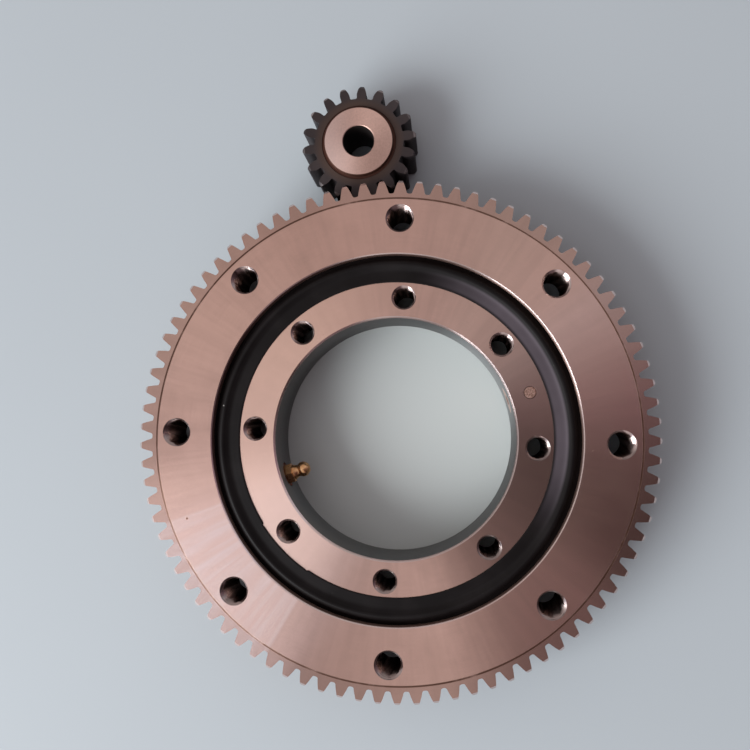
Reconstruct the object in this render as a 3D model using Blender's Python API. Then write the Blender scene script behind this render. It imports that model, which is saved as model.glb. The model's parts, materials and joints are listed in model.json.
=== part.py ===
"""Slewing ring bearing with teeth on its outer ring, and the small pinion that drives it.

Both turn about upright axes, and the pinion stands on the +Y side of the ring. One row of balls in
a cage runs between the rings. A rubber seal closes the gap above and another closes it below. The
balls are loaded through a hole in the inner ring, which a plug and a taper pin close, and a grease
nipple in the bore feeds the raceway.
"""

from math import acos, asin, cos, pi, radians, sin, tan

import bmesh
import bpy
from mathutils import Matrix, Vector

MM = 0.001
GAP = 0.3 * MM
OVERSHOOT = 1.0 * MM

# The gear pair
MODULE = 2.5 * MM
PRESSURE_ANGLE = radians(20)
TOOTH_THINNING = 0.2 * MM
ROOT_FILLET = 0.3 * MODULE
RING_TEETH = 85
PINION_TEETH = 18
RING_FLANK_POINTS = 3
PINION_FLANK_POINTS = 4

# Heights, from the surface that the bearing lies on
RING_HEIGHT = 30.0 * MM
OUTER_LIFT = 2.0 * MM
BALL_HEIGHT = 16.0 * MM
INNER_TOP = RING_HEIGHT
OUTER_BOTTOM = OUTER_LIFT
OUTER_TOP = OUTER_LIFT + RING_HEIGHT
LAND_TOP = 23.5 * MM
LAND_BOTTOM = 8.5 * MM

# Inner ring
BORE = 50.5 * MM
BORE_CHAMFER = 0.8 * MM
INNER_SHOULDER = 66.6 * MM
INNER_LAND = 70.3 * MM
LIP_SEAT_CHAMFER = 0.9 * MM
INNER_STEPS = 66

# Outer ring
OUTER_SHOULDER = 77.3 * MM
OUTER_LAND = 73.0 * MM
TOOTH_STEP = 100.9 * MM
TOOTH_STEP_DEPTH = 0.4 * MM
TIP_CHAMFER = 1.0 * MM
EDGE_CHAMFER = 0.5 * MM
SEAL_SLOT_RADIUS = 79.3 * MM
SEAL_SLOT_WIDTH = 1.9 * MM
UPPER_SLOT_BOTTOM = 25.6 * MM
LOWER_SLOT_BOTTOM = 4.9 * MM

# Balls, cage and raceway
BALL_RADIUS = 5.0 * MM
BALL_CIRCLE = 71.65 * MM
BALLS = 30
BALL_SIDES = 8
BALL_BANDS = 6
RACEWAY_RADIUS = BALL_RADIUS + 0.4 * MM
RACEWAY_ARCH = 0.12 * MM
RACEWAY_POINTS = 2
CAGE_THICKNESS = 1.8 * MM
CAGE_HEIGHT = 12.6 * MM
CAGE_STEPS = 60
WINDOW_SIDES = 12

# Seals: the ridge is the highest line of each, and the lip is its edge on the inner ring
SEAL_RIDGE = 73.25 * MM
UPPER_LIP = 65.9 * MM
UPPER_LIP_THICKNESS = 0.5 * MM
UPPER_HOLLOW = 68.8 * MM
UPPER_RIDGE_DROP = 0.6 * MM
UPPER_SHOULDER_DROP = 1.1 * MM
UPPER_UNDERSIDE_DROP = 3.6 * MM
UPPER_SKIRT_DROP = 1.4 * MM
LOWER_RIDGE_RISE = 0.5 * MM
LOWER_SHOULDER_RISE = 0.8 * MM
LOWER_LIP_RISE = 1.0 * MM
LOWER_LIP_HEIGHT = 1.2 * MM
LOWER_TOP_RISE = 3.0 * MM
SEAL_STEPS = 50

# Tapped holes: M12 in the outer ring, M10 in the inner ring
HOLES = 8
HOLE_STEP = 2 * pi / HOLES
HOLE_SIDES = 16
OUTER_HOLE_CIRCLE = 92.5 * MM
OUTER_HOLE_CORE = 5.1 * MM
OUTER_HOLE_RIM = 5.9 * MM
INNER_HOLE_CIRCLE = 59.2 * MM
INNER_HOLE_CORE = 4.3 * MM
INNER_HOLE_RIM = 5.15 * MM

# Loading plug, its taper pin, and the grease nipple
PLUG_RADIUS = 5.7 * MM
PLUG_EXTRACTOR_RADIUS = 2.1 * MM
PLUG_EXTRACTOR_END = 55.0 * MM
PLUG_SIDES = 20
EXTRACTOR_SIDES = 10
PIN_RADIUS = 2.5 * MM
PIN_TAPER = 0.2 * MM
PIN_CHAMFER = 0.3 * MM
PIN_BOTTOM = 8.0 * MM
PIN_SIDES = 14
SPOT_FACE = 51.4 * MM
SPOT_FACE_RADIUS = 5.5 * MM
NIPPLE_THREAD_RADIUS = 3.0 * MM
NIPPLE_THREAD_LENGTH = 5.5 * MM
NIPPLE_THREAD_POINT = 0.5 * MM
GREASE_PASSAGE_RADIUS = 1.5 * MM
NIPPLE_HEX_HEIGHT = 4.0 * MM
NIPPLE_HEX_RADIUS = 4.6 * MM
NIPPLE_COLLAR_HEIGHT = 4.8 * MM
NIPPLE_NECK_RADIUS = 2.4 * MM
NIPPLE_NECK = (6.0 * MM, 7.2 * MM)
NIPPLE_HEAD_RADIUS = 3.25 * MM
NIPPLE_HEAD = (8.4 * MM, 9.2 * MM)
NIPPLE_LENGTH = 11.2 * MM
NIPPLE_NOSE_RADIUS = 1.6 * MM
NIPPLE_MOUTH_RADIUS = 0.85 * MM
NIPPLE_CHAMBER_RADIUS = 1.7 * MM
NIPPLE_CHAMBER_START = 2.5 * MM
NIPPLE_SEAT = 9.4 * MM
NIPPLE_SEAT_DEPTH = 0.9 * MM
NIPPLE_SIDES = 14
NIPPLE_CHANNEL_SIDES = 12
CHECK_BALL_RADIUS = 1.25 * MM
CHECK_BALL_REACH = 0.4 * MM
SPRING_RADIUS = 1.05 * MM
SPRING_WIRE = 0.16 * MM
SPRING_TURNS = 5
SPRING_POINTS_PER_TURN = 7

# Pinion
PINION_FACE = 25.0 * MM
PINION_HUB_TOP = 27.0 * MM
PINION_HUB = 15.0 * MM
PINION_GROOVE = 16.2 * MM
PINION_GROOVE_DEPTH = 0.3 * MM
PINION_BORE = 6.75 * MM
PINION_CHAMFER = 0.3 * MM

# The inner holes lag a little behind the outer ones
INNER_HOLE_LAG = radians(2.33)
SMOOTHING_ANGLE = radians(28)


def pitch_radius(teeth):
    return MODULE * teeth / 2


def tip_radius(teeth):
    return pitch_radius(teeth) + MODULE


def root_radius(teeth):
    return pitch_radius(teeth) - 1.25 * MODULE


def involute(angle):
    return tan(angle) - angle


def half_space(teeth, radius):
    """Half the angle of the space between two teeth, at this radius."""
    base = pitch_radius(teeth) * cos(PRESSURE_ANGLE)
    pressure = acos(base / max(radius, base))
    thickness = pi * MODULE / 2 - TOOTH_THINNING
    half_tooth = thickness / 2 / pitch_radius(teeth) + involute(PRESSURE_ANGLE) - involute(pressure)
    return pi / teeth - half_tooth


def reach_beside_space(teeth):
    """How far the tips stand out along a line through the middle of a tooth space."""
    return tip_radius(teeth) * cos(half_space(teeth, tip_radius(teeth)))


RING_PITCH = 2 * pi / RING_TEETH
CENTRE_DISTANCE = pitch_radius(RING_TEETH) + pitch_radius(PINION_TEETH)
RING_Y = (reach_beside_space(RING_TEETH) - CENTRE_DISTANCE - reach_beside_space(PINION_TEETH)) / 2
PINION_Y = RING_Y + CENTRE_DISTANCE

TOWARDS_PINION = pi / 2
FIRST_OUTER_HOLE = TOWARDS_PINION - 2 * RING_PITCH
FIRST_INNER_HOLE = FIRST_OUTER_HOLE - INNER_HOLE_LAG
PLUG_ANGLE = FIRST_INNER_HOLE - 1.5 * HOLE_STEP
NIPPLE_ANGLE = PLUG_ANGLE + pi

NO_SHIFT = Matrix.Identity(4)


def clear_scene():
    for obj in list(bpy.data.objects):
        bpy.data.objects.remove(obj, do_unlink=True)


def material(name, colour, metallic, roughness):
    made = bpy.data.materials.new(name)
    made.use_nodes = True
    shader = made.node_tree.nodes["Principled BSDF"]
    shader.inputs["Base Color"].default_value = (*colour, 1)
    shader.inputs["Metallic"].default_value = metallic
    shader.inputs["Roughness"].default_value = roughness
    made.diffuse_color = (*colour, 1)
    return made


def axis_empty(name, place, parent=None):
    """A guide on a joint's axis, to which the pieces on that axis are parented."""
    guide = bpy.data.objects.new(name, None)
    guide.empty_display_size = 10 * MM
    guide.parent = parent
    guide.matrix_local = place
    bpy.context.collection.objects.link(guide)
    return guide


def add_object(name, bm, parent=None, look=None):
    mesh = bpy.data.meshes.new(name)
    bm.to_mesh(mesh)
    bm.free()
    obj = bpy.data.objects.new(name, mesh)
    obj.parent = parent
    bpy.context.collection.objects.link(obj)
    if look:
        mesh.materials.append(look)
    return obj


def as_tool(obj):
    """Marks an object as a cutter, which is not itself part of the bearing."""
    obj.hide_render = True
    obj.display_type = "WIRE"
    return obj


def turned(name, profile, steps, parent, look=None, start=0.0):
    """A ring turned from a closed profile of (radius, height), listed clockwise from its top."""
    bm = bmesh.new()
    corners = [bm.verts.new((radius, 0, height)) for radius, height in profile]
    for here, after in zip(corners, corners[1:] + corners[:1]):
        bm.edges.new((here, after))
    obj = add_object(name, bm, parent, look)
    obj.rotation_euler.z = start
    screw = obj.modifiers.new("Turn", "SCREW")
    screw.steps = screw.render_steps = steps
    screw.use_merge_vertices = True
    screw.merge_threshold = 0.01 * MM
    return obj


def add_stack(bm, levels, sides, place=NO_SHIFT):
    """A closed stack of circles about +Z of place, listed upwards as (height, radius)."""
    loops = []
    for height, radius in levels:
        corners = [(radius * cos(2 * pi * k / sides), radius * sin(2 * pi * k / sides)) for k in range(sides)]
        loops.append([bm.verts.new(place @ Vector((x, y, height))) for x, y in corners])
    bm.faces.new(loops[0][::-1])
    bm.faces.new(loops[-1])
    for low, high in zip(loops, loops[1:]):
        for k in range(sides):
            after = (k + 1) % sides
            bm.faces.new((low[k], low[after], high[after], high[k]))


def stack_object(name, levels, sides, parent, look=None, places=(NO_SHIFT,)):
    bm = bmesh.new()
    for place in places:
        add_stack(bm, levels, sides, place)
    return add_object(name, bm, parent, look)


def boolean(obj, tool, operation):
    step = obj.modifiers.new(tool.name, "BOOLEAN")
    step.operation = operation
    step.object = tool


def around(radius, angle):
    return Matrix.Rotation(angle, 4, "Z") @ Matrix.Translation((radius, 0, 0))


def along_radius(angle, height):
    """A frame whose +Z runs outwards along a radius of the ring, so that its heights are radii."""
    return Matrix.Rotation(angle, 4, "Z") @ Matrix.Translation((0, 0, height)) @ Matrix.Rotation(pi / 2, 4, "Y")


def gear_cutter(name, teeth, flank_points, first_space, bottom, top, parent):
    """Cutters for every tooth space, with involute flanks and eased root corners."""
    tip, root = tip_radius(teeth), root_radius(teeth)
    foot = root + ROOT_FILLET
    radii = [tip + (foot - tip) * k / (flank_points - 1) for k in range(flank_points)]
    side = [(tip + OVERSHOOT, half_space(teeth, tip))]
    side += [(radius, half_space(teeth, radius)) for radius in radii]
    side += [(root, half_space(teeth, root) - ROOT_FILLET / root)]
    outline = [(radius, -angle) for radius, angle in side] + side[::-1]
    bm = bmesh.new()
    for tooth in range(teeth):
        middle = first_space + 2 * pi * tooth / teeth
        ends = []
        for height in (bottom - OVERSHOOT, top + OVERSHOOT):
            polar = [(radius, middle + angle) for radius, angle in outline]
            ends.append([bm.verts.new((r * cos(a), r * sin(a), height)) for r, a in polar])
        bm.faces.new(ends[0])
        bm.faces.new(ends[1][::-1])
        for k in range(len(outline)):
            after = (k + 1) % len(outline)
            bm.faces.new((ends[0][after], ends[0][k], ends[1][k], ends[1][after]))
    bmesh.ops.recalc_face_normals(bm, faces=bm.faces)
    return as_tool(add_object(name, bm, parent))


def bolt_hole_cutter(name, circle, first_hole, core, rim, bottom, top, parent):
    """Eight through holes, countersunk at both ends."""
    levels = [
        (bottom - OVERSHOOT, rim + OVERSHOOT),
        (bottom + rim - core, core),
        (top - rim + core, core),
        (top + OVERSHOOT, rim + OVERSHOOT),
    ]
    places = [around(circle, first_hole + k * HOLE_STEP) for k in range(HOLES)]
    return as_tool(stack_object(name, levels, HOLE_SIDES, parent, places=places))


def raceway(land, side):
    """The pointed arch that the balls run in, from its lower land to its upper one, as (radius, height)."""
    start = asin(RACEWAY_ARCH / RACEWAY_RADIUS)
    end = acos(abs(land - BALL_CIRCLE) / RACEWAY_RADIUS)
    upper = []
    for k in range(RACEWAY_POINTS + 1):
        angle = start + (end - start) * k / RACEWAY_POINTS
        rise = RACEWAY_RADIUS * sin(angle) - RACEWAY_ARCH
        upper.append((BALL_CIRCLE + side * RACEWAY_RADIUS * cos(angle), rise))
    lower = [(radius, -rise) for radius, rise in upper[:0:-1]]
    return [(radius, BALL_HEIGHT + rise) for radius, rise in lower + upper]


def inner_ring_profile():
    return [
        (BORE + BORE_CHAMFER, INNER_TOP),
        (INNER_SHOULDER - LIP_SEAT_CHAMFER, INNER_TOP),
        (INNER_SHOULDER, INNER_TOP - LIP_SEAT_CHAMFER),
        (INNER_SHOULDER, LAND_TOP),
        (INNER_LAND, LAND_TOP),
        *raceway(INNER_LAND, -1)[::-1],
        (INNER_LAND, LAND_BOTTOM),
        (INNER_SHOULDER, LAND_BOTTOM),
        (INNER_SHOULDER, EDGE_CHAMFER),
        (INNER_SHOULDER - EDGE_CHAMFER, 0),
        (BORE + BORE_CHAMFER, 0),
        (BORE, BORE_CHAMFER),
        (BORE, INNER_TOP - BORE_CHAMFER),
    ]


def seal_slot(bottom):
    """The slot in the outer ring that holds a seal's tongue, listed upwards."""
    top = bottom + SEAL_SLOT_WIDTH
    return [
        (OUTER_SHOULDER, bottom),
        (SEAL_SLOT_RADIUS, bottom),
        (SEAL_SLOT_RADIUS, top),
        (OUTER_SHOULDER, top),
    ]


def outer_ring_profile():
    """The turned blank. Its outside is a polygon whose flats, one to each tooth, touch the tip circle."""
    flats = 1 / cos(pi / RING_TEETH)
    tip = tip_radius(RING_TEETH) * flats
    gear_top = OUTER_TOP - TOOTH_STEP_DEPTH
    gear_bottom = OUTER_BOTTOM + TOOTH_STEP_DEPTH
    return [
        (OUTER_SHOULDER + EDGE_CHAMFER, OUTER_TOP),
        (TOOTH_STEP, OUTER_TOP),
        (TOOTH_STEP, gear_top),
        (tip - TIP_CHAMFER, gear_top),
        (tip, gear_top - TIP_CHAMFER),
        (tip, gear_bottom + TIP_CHAMFER),
        (tip - TIP_CHAMFER, gear_bottom),
        (TOOTH_STEP, gear_bottom),
        (TOOTH_STEP, OUTER_BOTTOM),
        (OUTER_SHOULDER + EDGE_CHAMFER, OUTER_BOTTOM),
        (OUTER_SHOULDER, OUTER_BOTTOM + EDGE_CHAMFER),
        *seal_slot(LOWER_SLOT_BOTTOM),
        (OUTER_SHOULDER, LAND_BOTTOM),
        (OUTER_LAND, LAND_BOTTOM),
        *raceway(OUTER_LAND, 1),
        (OUTER_LAND, LAND_TOP),
        (OUTER_SHOULDER, LAND_TOP),
        *seal_slot(UPPER_SLOT_BOTTOM),
        (OUTER_SHOULDER, OUTER_TOP - EDGE_CHAMFER),
    ]


def upper_seal_profile():
    """Tongue in the outer ring, rounded ridge beside it, and a lip that lies over the inner ring's rim."""
    wall = OUTER_SHOULDER - GAP
    tongue = SEAL_SLOT_RADIUS - GAP
    slot_top = UPPER_SLOT_BOTTOM + SEAL_SLOT_WIDTH
    lip_bottom = INNER_TOP + GAP
    return [
        (UPPER_LIP, lip_bottom + UPPER_LIP_THICKNESS),
        (UPPER_HOLLOW, lip_bottom),
        (SEAL_RIDGE - 1.4 * MM, OUTER_TOP - UPPER_SHOULDER_DROP),
        (SEAL_RIDGE, OUTER_TOP - UPPER_RIDGE_DROP),
        (SEAL_RIDGE + 1.2 * MM, OUTER_TOP - UPPER_SHOULDER_DROP),
        (wall - 0.6 * MM, slot_top + 0.9 * MM),
        (wall, slot_top - GAP),
        (tongue, slot_top - GAP),
        (tongue, UPPER_SLOT_BOTTOM + GAP),
        (wall - 2.0 * MM, UPPER_SLOT_BOTTOM + GAP),
        (SEAL_RIDGE - 1.0 * MM, OUTER_TOP - UPPER_UNDERSIDE_DROP),
        (INNER_SHOULDER + 1.0 * MM, INNER_TOP - UPPER_SKIRT_DROP),
        (INNER_SHOULDER + GAP, lip_bottom),
        (UPPER_LIP, lip_bottom),
    ]


def lower_seal_profile():
    """Tongue in the outer ring, and a lip that wipes the inner ring's shoulder."""
    wall = OUTER_SHOULDER - GAP
    tongue = SEAL_SLOT_RADIUS - GAP
    slot_top = LOWER_SLOT_BOTTOM + SEAL_SLOT_WIDTH
    lip = INNER_SHOULDER + GAP
    lip_bottom = OUTER_BOTTOM + LOWER_LIP_RISE
    return [
        (wall, slot_top - GAP),
        (tongue, slot_top - GAP),
        (tongue, LOWER_SLOT_BOTTOM + GAP),
        (wall, LOWER_SLOT_BOTTOM + GAP),
        (wall - 1.6 * MM, OUTER_BOTTOM + LOWER_SHOULDER_RISE),
        (SEAL_RIDGE, OUTER_BOTTOM + LOWER_RIDGE_RISE),
        (lip, lip_bottom),
        (lip, lip_bottom + LOWER_LIP_HEIGHT),
        (BALL_CIRCLE, OUTER_BOTTOM + LOWER_TOP_RISE),
    ]


def make_outer_ring(axis, steel):
    first_space = TOWARDS_PINION + RING_PITCH / 2
    ring = turned("outer_gear_ring", outer_ring_profile(), RING_TEETH, axis, steel, start=first_space)
    spaces = gear_cutter(
        "ring_tooth_spaces", RING_TEETH, RING_FLANK_POINTS, first_space, OUTER_BOTTOM, OUTER_TOP, axis
    )
    holes = bolt_hole_cutter(
        "outer_bolt_holes", OUTER_HOLE_CIRCLE, FIRST_OUTER_HOLE, OUTER_HOLE_CORE, OUTER_HOLE_RIM,
        OUTER_BOTTOM, OUTER_TOP, axis,
    )
    boolean(ring, spaces, "DIFFERENCE")
    boolean(ring, holes, "DIFFERENCE")


def make_inner_ring(axis, steel, ground_steel):
    """The inner ring, and the loading plug, which is turned together with it and so shares its raceway."""
    ring = turned("inner_ring", inner_ring_profile(), INNER_STEPS, axis, steel)
    blank = as_tool(turned("plug_blank", inner_ring_profile(), INNER_STEPS, axis))
    across_plug = along_radius(PLUG_ANGLE, BALL_HEIGHT)
    across_nipple = along_radius(NIPPLE_ANGLE, BALL_HEIGHT)
    inside, outside = BORE - 2 * OVERSHOOT, INNER_LAND + 2 * OVERSHOOT
    holes = bolt_hole_cutter(
        "inner_bolt_holes", INNER_HOLE_CIRCLE, FIRST_INNER_HOLE, INNER_HOLE_CORE, INNER_HOLE_RIM,
        0, INNER_TOP, axis,
    )
    loading_hole = as_tool(stack_object(
        "loading_hole", [(inside, PLUG_RADIUS + GAP), (outside, PLUG_RADIUS + GAP)], PLUG_SIDES, axis,
        places=[across_plug],
    ))
    pin_hole = as_tool(stack_object(
        "pin_hole", [(PIN_BOTTOM - GAP, PIN_RADIUS + GAP), (INNER_TOP + OVERSHOOT, PIN_RADIUS + GAP)],
        HOLE_SIDES, axis, places=[around(INNER_HOLE_CIRCLE, PLUG_ANGLE)],
    ))
    thread_end = SPOT_FACE + NIPPLE_THREAD_LENGTH
    nipple_hole = as_tool(stack_object(
        "nipple_hole",
        [
            (inside, SPOT_FACE_RADIUS),
            (SPOT_FACE, SPOT_FACE_RADIUS),
            (SPOT_FACE, NIPPLE_THREAD_RADIUS + GAP),
            (thread_end, NIPPLE_THREAD_RADIUS + GAP),
            (thread_end + OVERSHOOT, GREASE_PASSAGE_RADIUS),
            (INNER_LAND - OVERSHOOT, GREASE_PASSAGE_RADIUS),
        ],
        HOLE_SIDES, axis, places=[across_nipple],
    ))
    for tool in (holes, loading_hole, pin_hole, nipple_hole):
        boolean(ring, tool, "DIFFERENCE")

    plug = stack_object(
        "loading_plug", [(inside, PLUG_RADIUS), (outside, PLUG_RADIUS)], PLUG_SIDES, axis, ground_steel,
        places=[across_plug],
    )
    extractor = as_tool(stack_object(
        "plug_extractor_hole", [(inside, PLUG_EXTRACTOR_RADIUS), (PLUG_EXTRACTOR_END, PLUG_EXTRACTOR_RADIUS)],
        EXTRACTOR_SIDES, axis, places=[across_plug],
    ))
    boolean(plug, blank, "INTERSECT")
    boolean(plug, pin_hole, "DIFFERENCE")
    boolean(plug, extractor, "DIFFERENCE")


def make_taper_pin(axis, steel):
    levels = [
        (PIN_BOTTOM, PIN_RADIUS - PIN_TAPER),
        (INNER_TOP - GAP - PIN_CHAMFER, PIN_RADIUS),
        (INNER_TOP - GAP, PIN_RADIUS - PIN_CHAMFER),
    ]
    place = around(INNER_HOLE_CIRCLE, PLUG_ANGLE)
    stack_object("plug_taper_pin", levels, PIN_SIDES, axis, steel, places=[place])


def make_seals(axis, rubber):
    turned("upper_seal", upper_seal_profile(), SEAL_STEPS, axis, rubber)
    turned("lower_seal", lower_seal_profile(), SEAL_STEPS, axis, rubber)


def make_cage(axis, nylon):
    inside = BALL_CIRCLE - CAGE_THICKNESS / 2
    outside = BALL_CIRCLE + CAGE_THICKNESS / 2
    bottom = BALL_HEIGHT - CAGE_HEIGHT / 2
    top = BALL_HEIGHT + CAGE_HEIGHT / 2
    profile = [(inside, top), (outside, top), (outside, bottom), (inside, bottom)]
    cage = turned("ball_cage", profile, CAGE_STEPS, axis, nylon)
    window = (BALL_RADIUS + GAP) / cos(pi / WINDOW_SIDES)
    levels = [(inside - OVERSHOOT, window), (outside + OVERSHOOT, window)]
    places = [along_radius(2 * pi * k / BALLS, BALL_HEIGHT) for k in range(BALLS)]
    windows = as_tool(stack_object("cage_windows", levels, WINDOW_SIDES, axis, places=places))
    boolean(cage, windows, "DIFFERENCE")


def make_balls(axis, chrome_steel):
    """One object for each ball, with its origin on the ball's own axis of spin."""
    bm = bmesh.new()
    bmesh.ops.create_uvsphere(bm, u_segments=BALL_SIDES, v_segments=BALL_BANDS, radius=BALL_RADIUS)
    first = add_object("ball_01", bm, axis, chrome_steel)
    balls = [first]
    for number in range(2, BALLS + 1):
        ball = bpy.data.objects.new(f"ball_{number:02d}", first.data)
        ball.parent = axis
        bpy.context.collection.objects.link(ball)
        balls.append(ball)
    for index, ball in enumerate(balls):
        ball.matrix_local = Matrix.Translation((0, 0, BALL_HEIGHT)) @ around(BALL_CIRCLE, 2 * pi * index / BALLS)


def make_nipple(axis, brass, steel):
    """Built about the nipple's own axis: +Z points into the bore, and z = 0 is the seat of its hexagon."""
    seat = along_radius(NIPPLE_ANGLE, BALL_HEIGHT) @ Matrix.Translation((0, 0, SPOT_FACE - GAP))
    nipple_axis = axis_empty("nipple_axis", seat @ Matrix.Rotation(pi, 4, "X"), axis)
    body = stack_object(
        "grease_nipple",
        [
            (GAP - NIPPLE_THREAD_LENGTH, NIPPLE_THREAD_RADIUS - NIPPLE_THREAD_POINT),
            (GAP + NIPPLE_THREAD_POINT - NIPPLE_THREAD_LENGTH, NIPPLE_THREAD_RADIUS),
            (NIPPLE_COLLAR_HEIGHT, NIPPLE_THREAD_RADIUS),
            *((height, NIPPLE_NECK_RADIUS) for height in NIPPLE_NECK),
            *((height, NIPPLE_HEAD_RADIUS) for height in NIPPLE_HEAD),
            (NIPPLE_LENGTH, NIPPLE_NOSE_RADIUS),
        ],
        NIPPLE_SIDES, nipple_axis, brass,
    )
    hexagon = as_tool(stack_object(
        "nipple_hexagon", [(0, NIPPLE_HEX_RADIUS), (NIPPLE_HEX_HEIGHT, NIPPLE_HEX_RADIUS)], 6, nipple_axis
    ))
    channel = as_tool(stack_object(
        "nipple_channel",
        [
            (-NIPPLE_THREAD_LENGTH, GREASE_PASSAGE_RADIUS - GAP),
            (NIPPLE_CHAMBER_START, GREASE_PASSAGE_RADIUS - GAP),
            (NIPPLE_CHAMBER_START, NIPPLE_CHAMBER_RADIUS),
            (NIPPLE_SEAT, NIPPLE_CHAMBER_RADIUS),
            (NIPPLE_SEAT + NIPPLE_SEAT_DEPTH, NIPPLE_MOUTH_RADIUS),
            (NIPPLE_LENGTH + OVERSHOOT, NIPPLE_MOUTH_RADIUS),
        ],
        NIPPLE_CHANNEL_SIDES, nipple_axis,
    ))
    boolean(body, hexagon, "UNION")
    boolean(body, channel, "DIFFERENCE")

    bm = bmesh.new()
    bmesh.ops.create_uvsphere(bm, u_segments=BALL_SIDES, v_segments=BALL_BANDS, radius=CHECK_BALL_RADIUS)
    ball = add_object("nipple_ball", bm, nipple_axis, steel)
    ball.location.z = NIPPLE_SEAT - CHECK_BALL_RADIUS + CHECK_BALL_REACH
    make_spring(nipple_axis, steel, NIPPLE_CHAMBER_START, ball.location.z - CHECK_BALL_RADIUS)


def make_spring(nipple_axis, steel, bottom, top):
    """The check ball's spring: a helix of round wire between the end of the chamber and the ball."""
    low, high = bottom + SPRING_WIRE + GAP, top - SPRING_WIRE - GAP
    curve = bpy.data.curves.new("nipple_spring", "CURVE")
    curve.dimensions = "3D"
    curve.bevel_depth = SPRING_WIRE
    curve.bevel_resolution = 0
    curve.use_fill_caps = True
    count = SPRING_TURNS * SPRING_POINTS_PER_TURN
    spline = curve.splines.new("POLY")
    spline.points.add(count)
    for k, point in enumerate(spline.points):
        angle = 2 * pi * k / SPRING_POINTS_PER_TURN
        height = low + (high - low) * k / count
        point.co = (SPRING_RADIUS * cos(angle), SPRING_RADIUS * sin(angle), height, 1)
    spring = bpy.data.objects.new("nipple_spring", curve)
    spring.parent = nipple_axis
    curve.materials.append(steel)
    bpy.context.collection.objects.link(spring)


def make_pinion(axis, black_steel):
    tip = tip_radius(PINION_TEETH)
    profile = [
        (PINION_BORE + PINION_CHAMFER, PINION_HUB_TOP),
        (PINION_HUB - PINION_CHAMFER, PINION_HUB_TOP),
        (PINION_HUB, PINION_HUB_TOP - PINION_CHAMFER),
        (PINION_HUB, PINION_FACE - PINION_GROOVE_DEPTH),
        (PINION_GROOVE, PINION_FACE),
        (tip - TIP_CHAMFER, PINION_FACE),
        (tip, PINION_FACE - TIP_CHAMFER),
        (tip, TIP_CHAMFER),
        (tip - TIP_CHAMFER, 0),
        (PINION_BORE + PINION_CHAMFER, 0),
        (PINION_BORE, PINION_CHAMFER),
        (PINION_BORE, PINION_HUB_TOP - PINION_CHAMFER),
    ]
    towards_ring = -pi / 2
    pinion = turned("pinion", profile, 2 * PINION_TEETH, axis, black_steel, start=towards_ring)
    spaces = gear_cutter(
        "pinion_tooth_spaces", PINION_TEETH, PINION_FLANK_POINTS, towards_ring, 0, PINION_FACE, axis
    )
    boolean(pinion, spaces, "DIFFERENCE")


def settle():
    """Turns every finished piece into a plain mesh with smooth round faces, and removes the tools."""
    bpy.context.view_layer.update()
    graph = bpy.context.evaluated_depsgraph_get()
    pieces = [obj for obj in bpy.data.objects if obj.type == "MESH" and not obj.hide_render]
    changed = [obj for obj in pieces if obj.modifiers]
    meshes = [bpy.data.meshes.new_from_object(obj.evaluated_get(graph)) for obj in changed]
    for obj, mesh in zip(changed, meshes):
        obj.modifiers.clear()
        mesh.name = obj.name
        obj.data = mesh
    for mesh in {obj.data for obj in pieces}:
        mesh.shade_smooth()
        mesh.set_sharp_from_angle(angle=SMOOTHING_ANGLE)
    for obj in [obj for obj in bpy.data.objects if obj.hide_render]:
        bpy.data.objects.remove(obj, do_unlink=True)


def main():
    clear_scene()
    ring_steel = material("ground_ring_steel", (0.46, 0.36, 0.32), 0.9, 0.32)
    plug_steel = material("ground_plug_steel", (0.42, 0.38, 0.36), 0.9, 0.3)
    pin_steel = material("pin_steel", (0.25, 0.19, 0.17), 0.9, 0.45)
    ball_steel = material("ball_steel", (0.62, 0.62, 0.63), 1.0, 0.12)
    spring_steel = material("spring_steel", (0.5, 0.5, 0.5), 1.0, 0.25)
    pinion_steel = material("black_oxide_steel", (0.05, 0.045, 0.05), 0.7, 0.5)
    rubber = material("nitrile_rubber", (0.012, 0.012, 0.013), 0.0, 0.42)
    nylon = material("cage_nylon", (0.72, 0.68, 0.58), 0.0, 0.5)
    brass = material("nipple_brass", (0.62, 0.38, 0.14), 1.0, 0.3)

    ring_axis = axis_empty("ring_axis", Matrix.Translation((0, RING_Y, 0)))
    pinion_axis = axis_empty("pinion_axis", Matrix.Translation((0, PINION_Y, 0)))
    make_outer_ring(ring_axis, ring_steel)
    make_inner_ring(ring_axis, ring_steel, plug_steel)
    make_taper_pin(ring_axis, pin_steel)
    make_seals(ring_axis, rubber)
    make_cage(ring_axis, nylon)
    make_balls(ring_axis, ball_steel)
    make_nipple(ring_axis, brass, spring_steel)
    make_pinion(pinion_axis, pinion_steel)
    settle()


main()
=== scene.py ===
"""A slewing ring bearing with teeth on its outer ring, and the pinion that drives it.

Each operator makes one piece, or one group of like pieces, in the place of its plain solid. The
frame gives every axis and height, and the panel's settings give the other sizes and the colours.
"""

import json
from math import acos, asin, ceil, cos, pi, radians, sin, tan

import bmesh
import bpy
from bpy.props import FloatProperty, FloatVectorProperty, IntProperty, PointerProperty
from mathutils import Euler, Matrix, Vector
from mathutils.geometry import delaunay_2d_cdt


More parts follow.
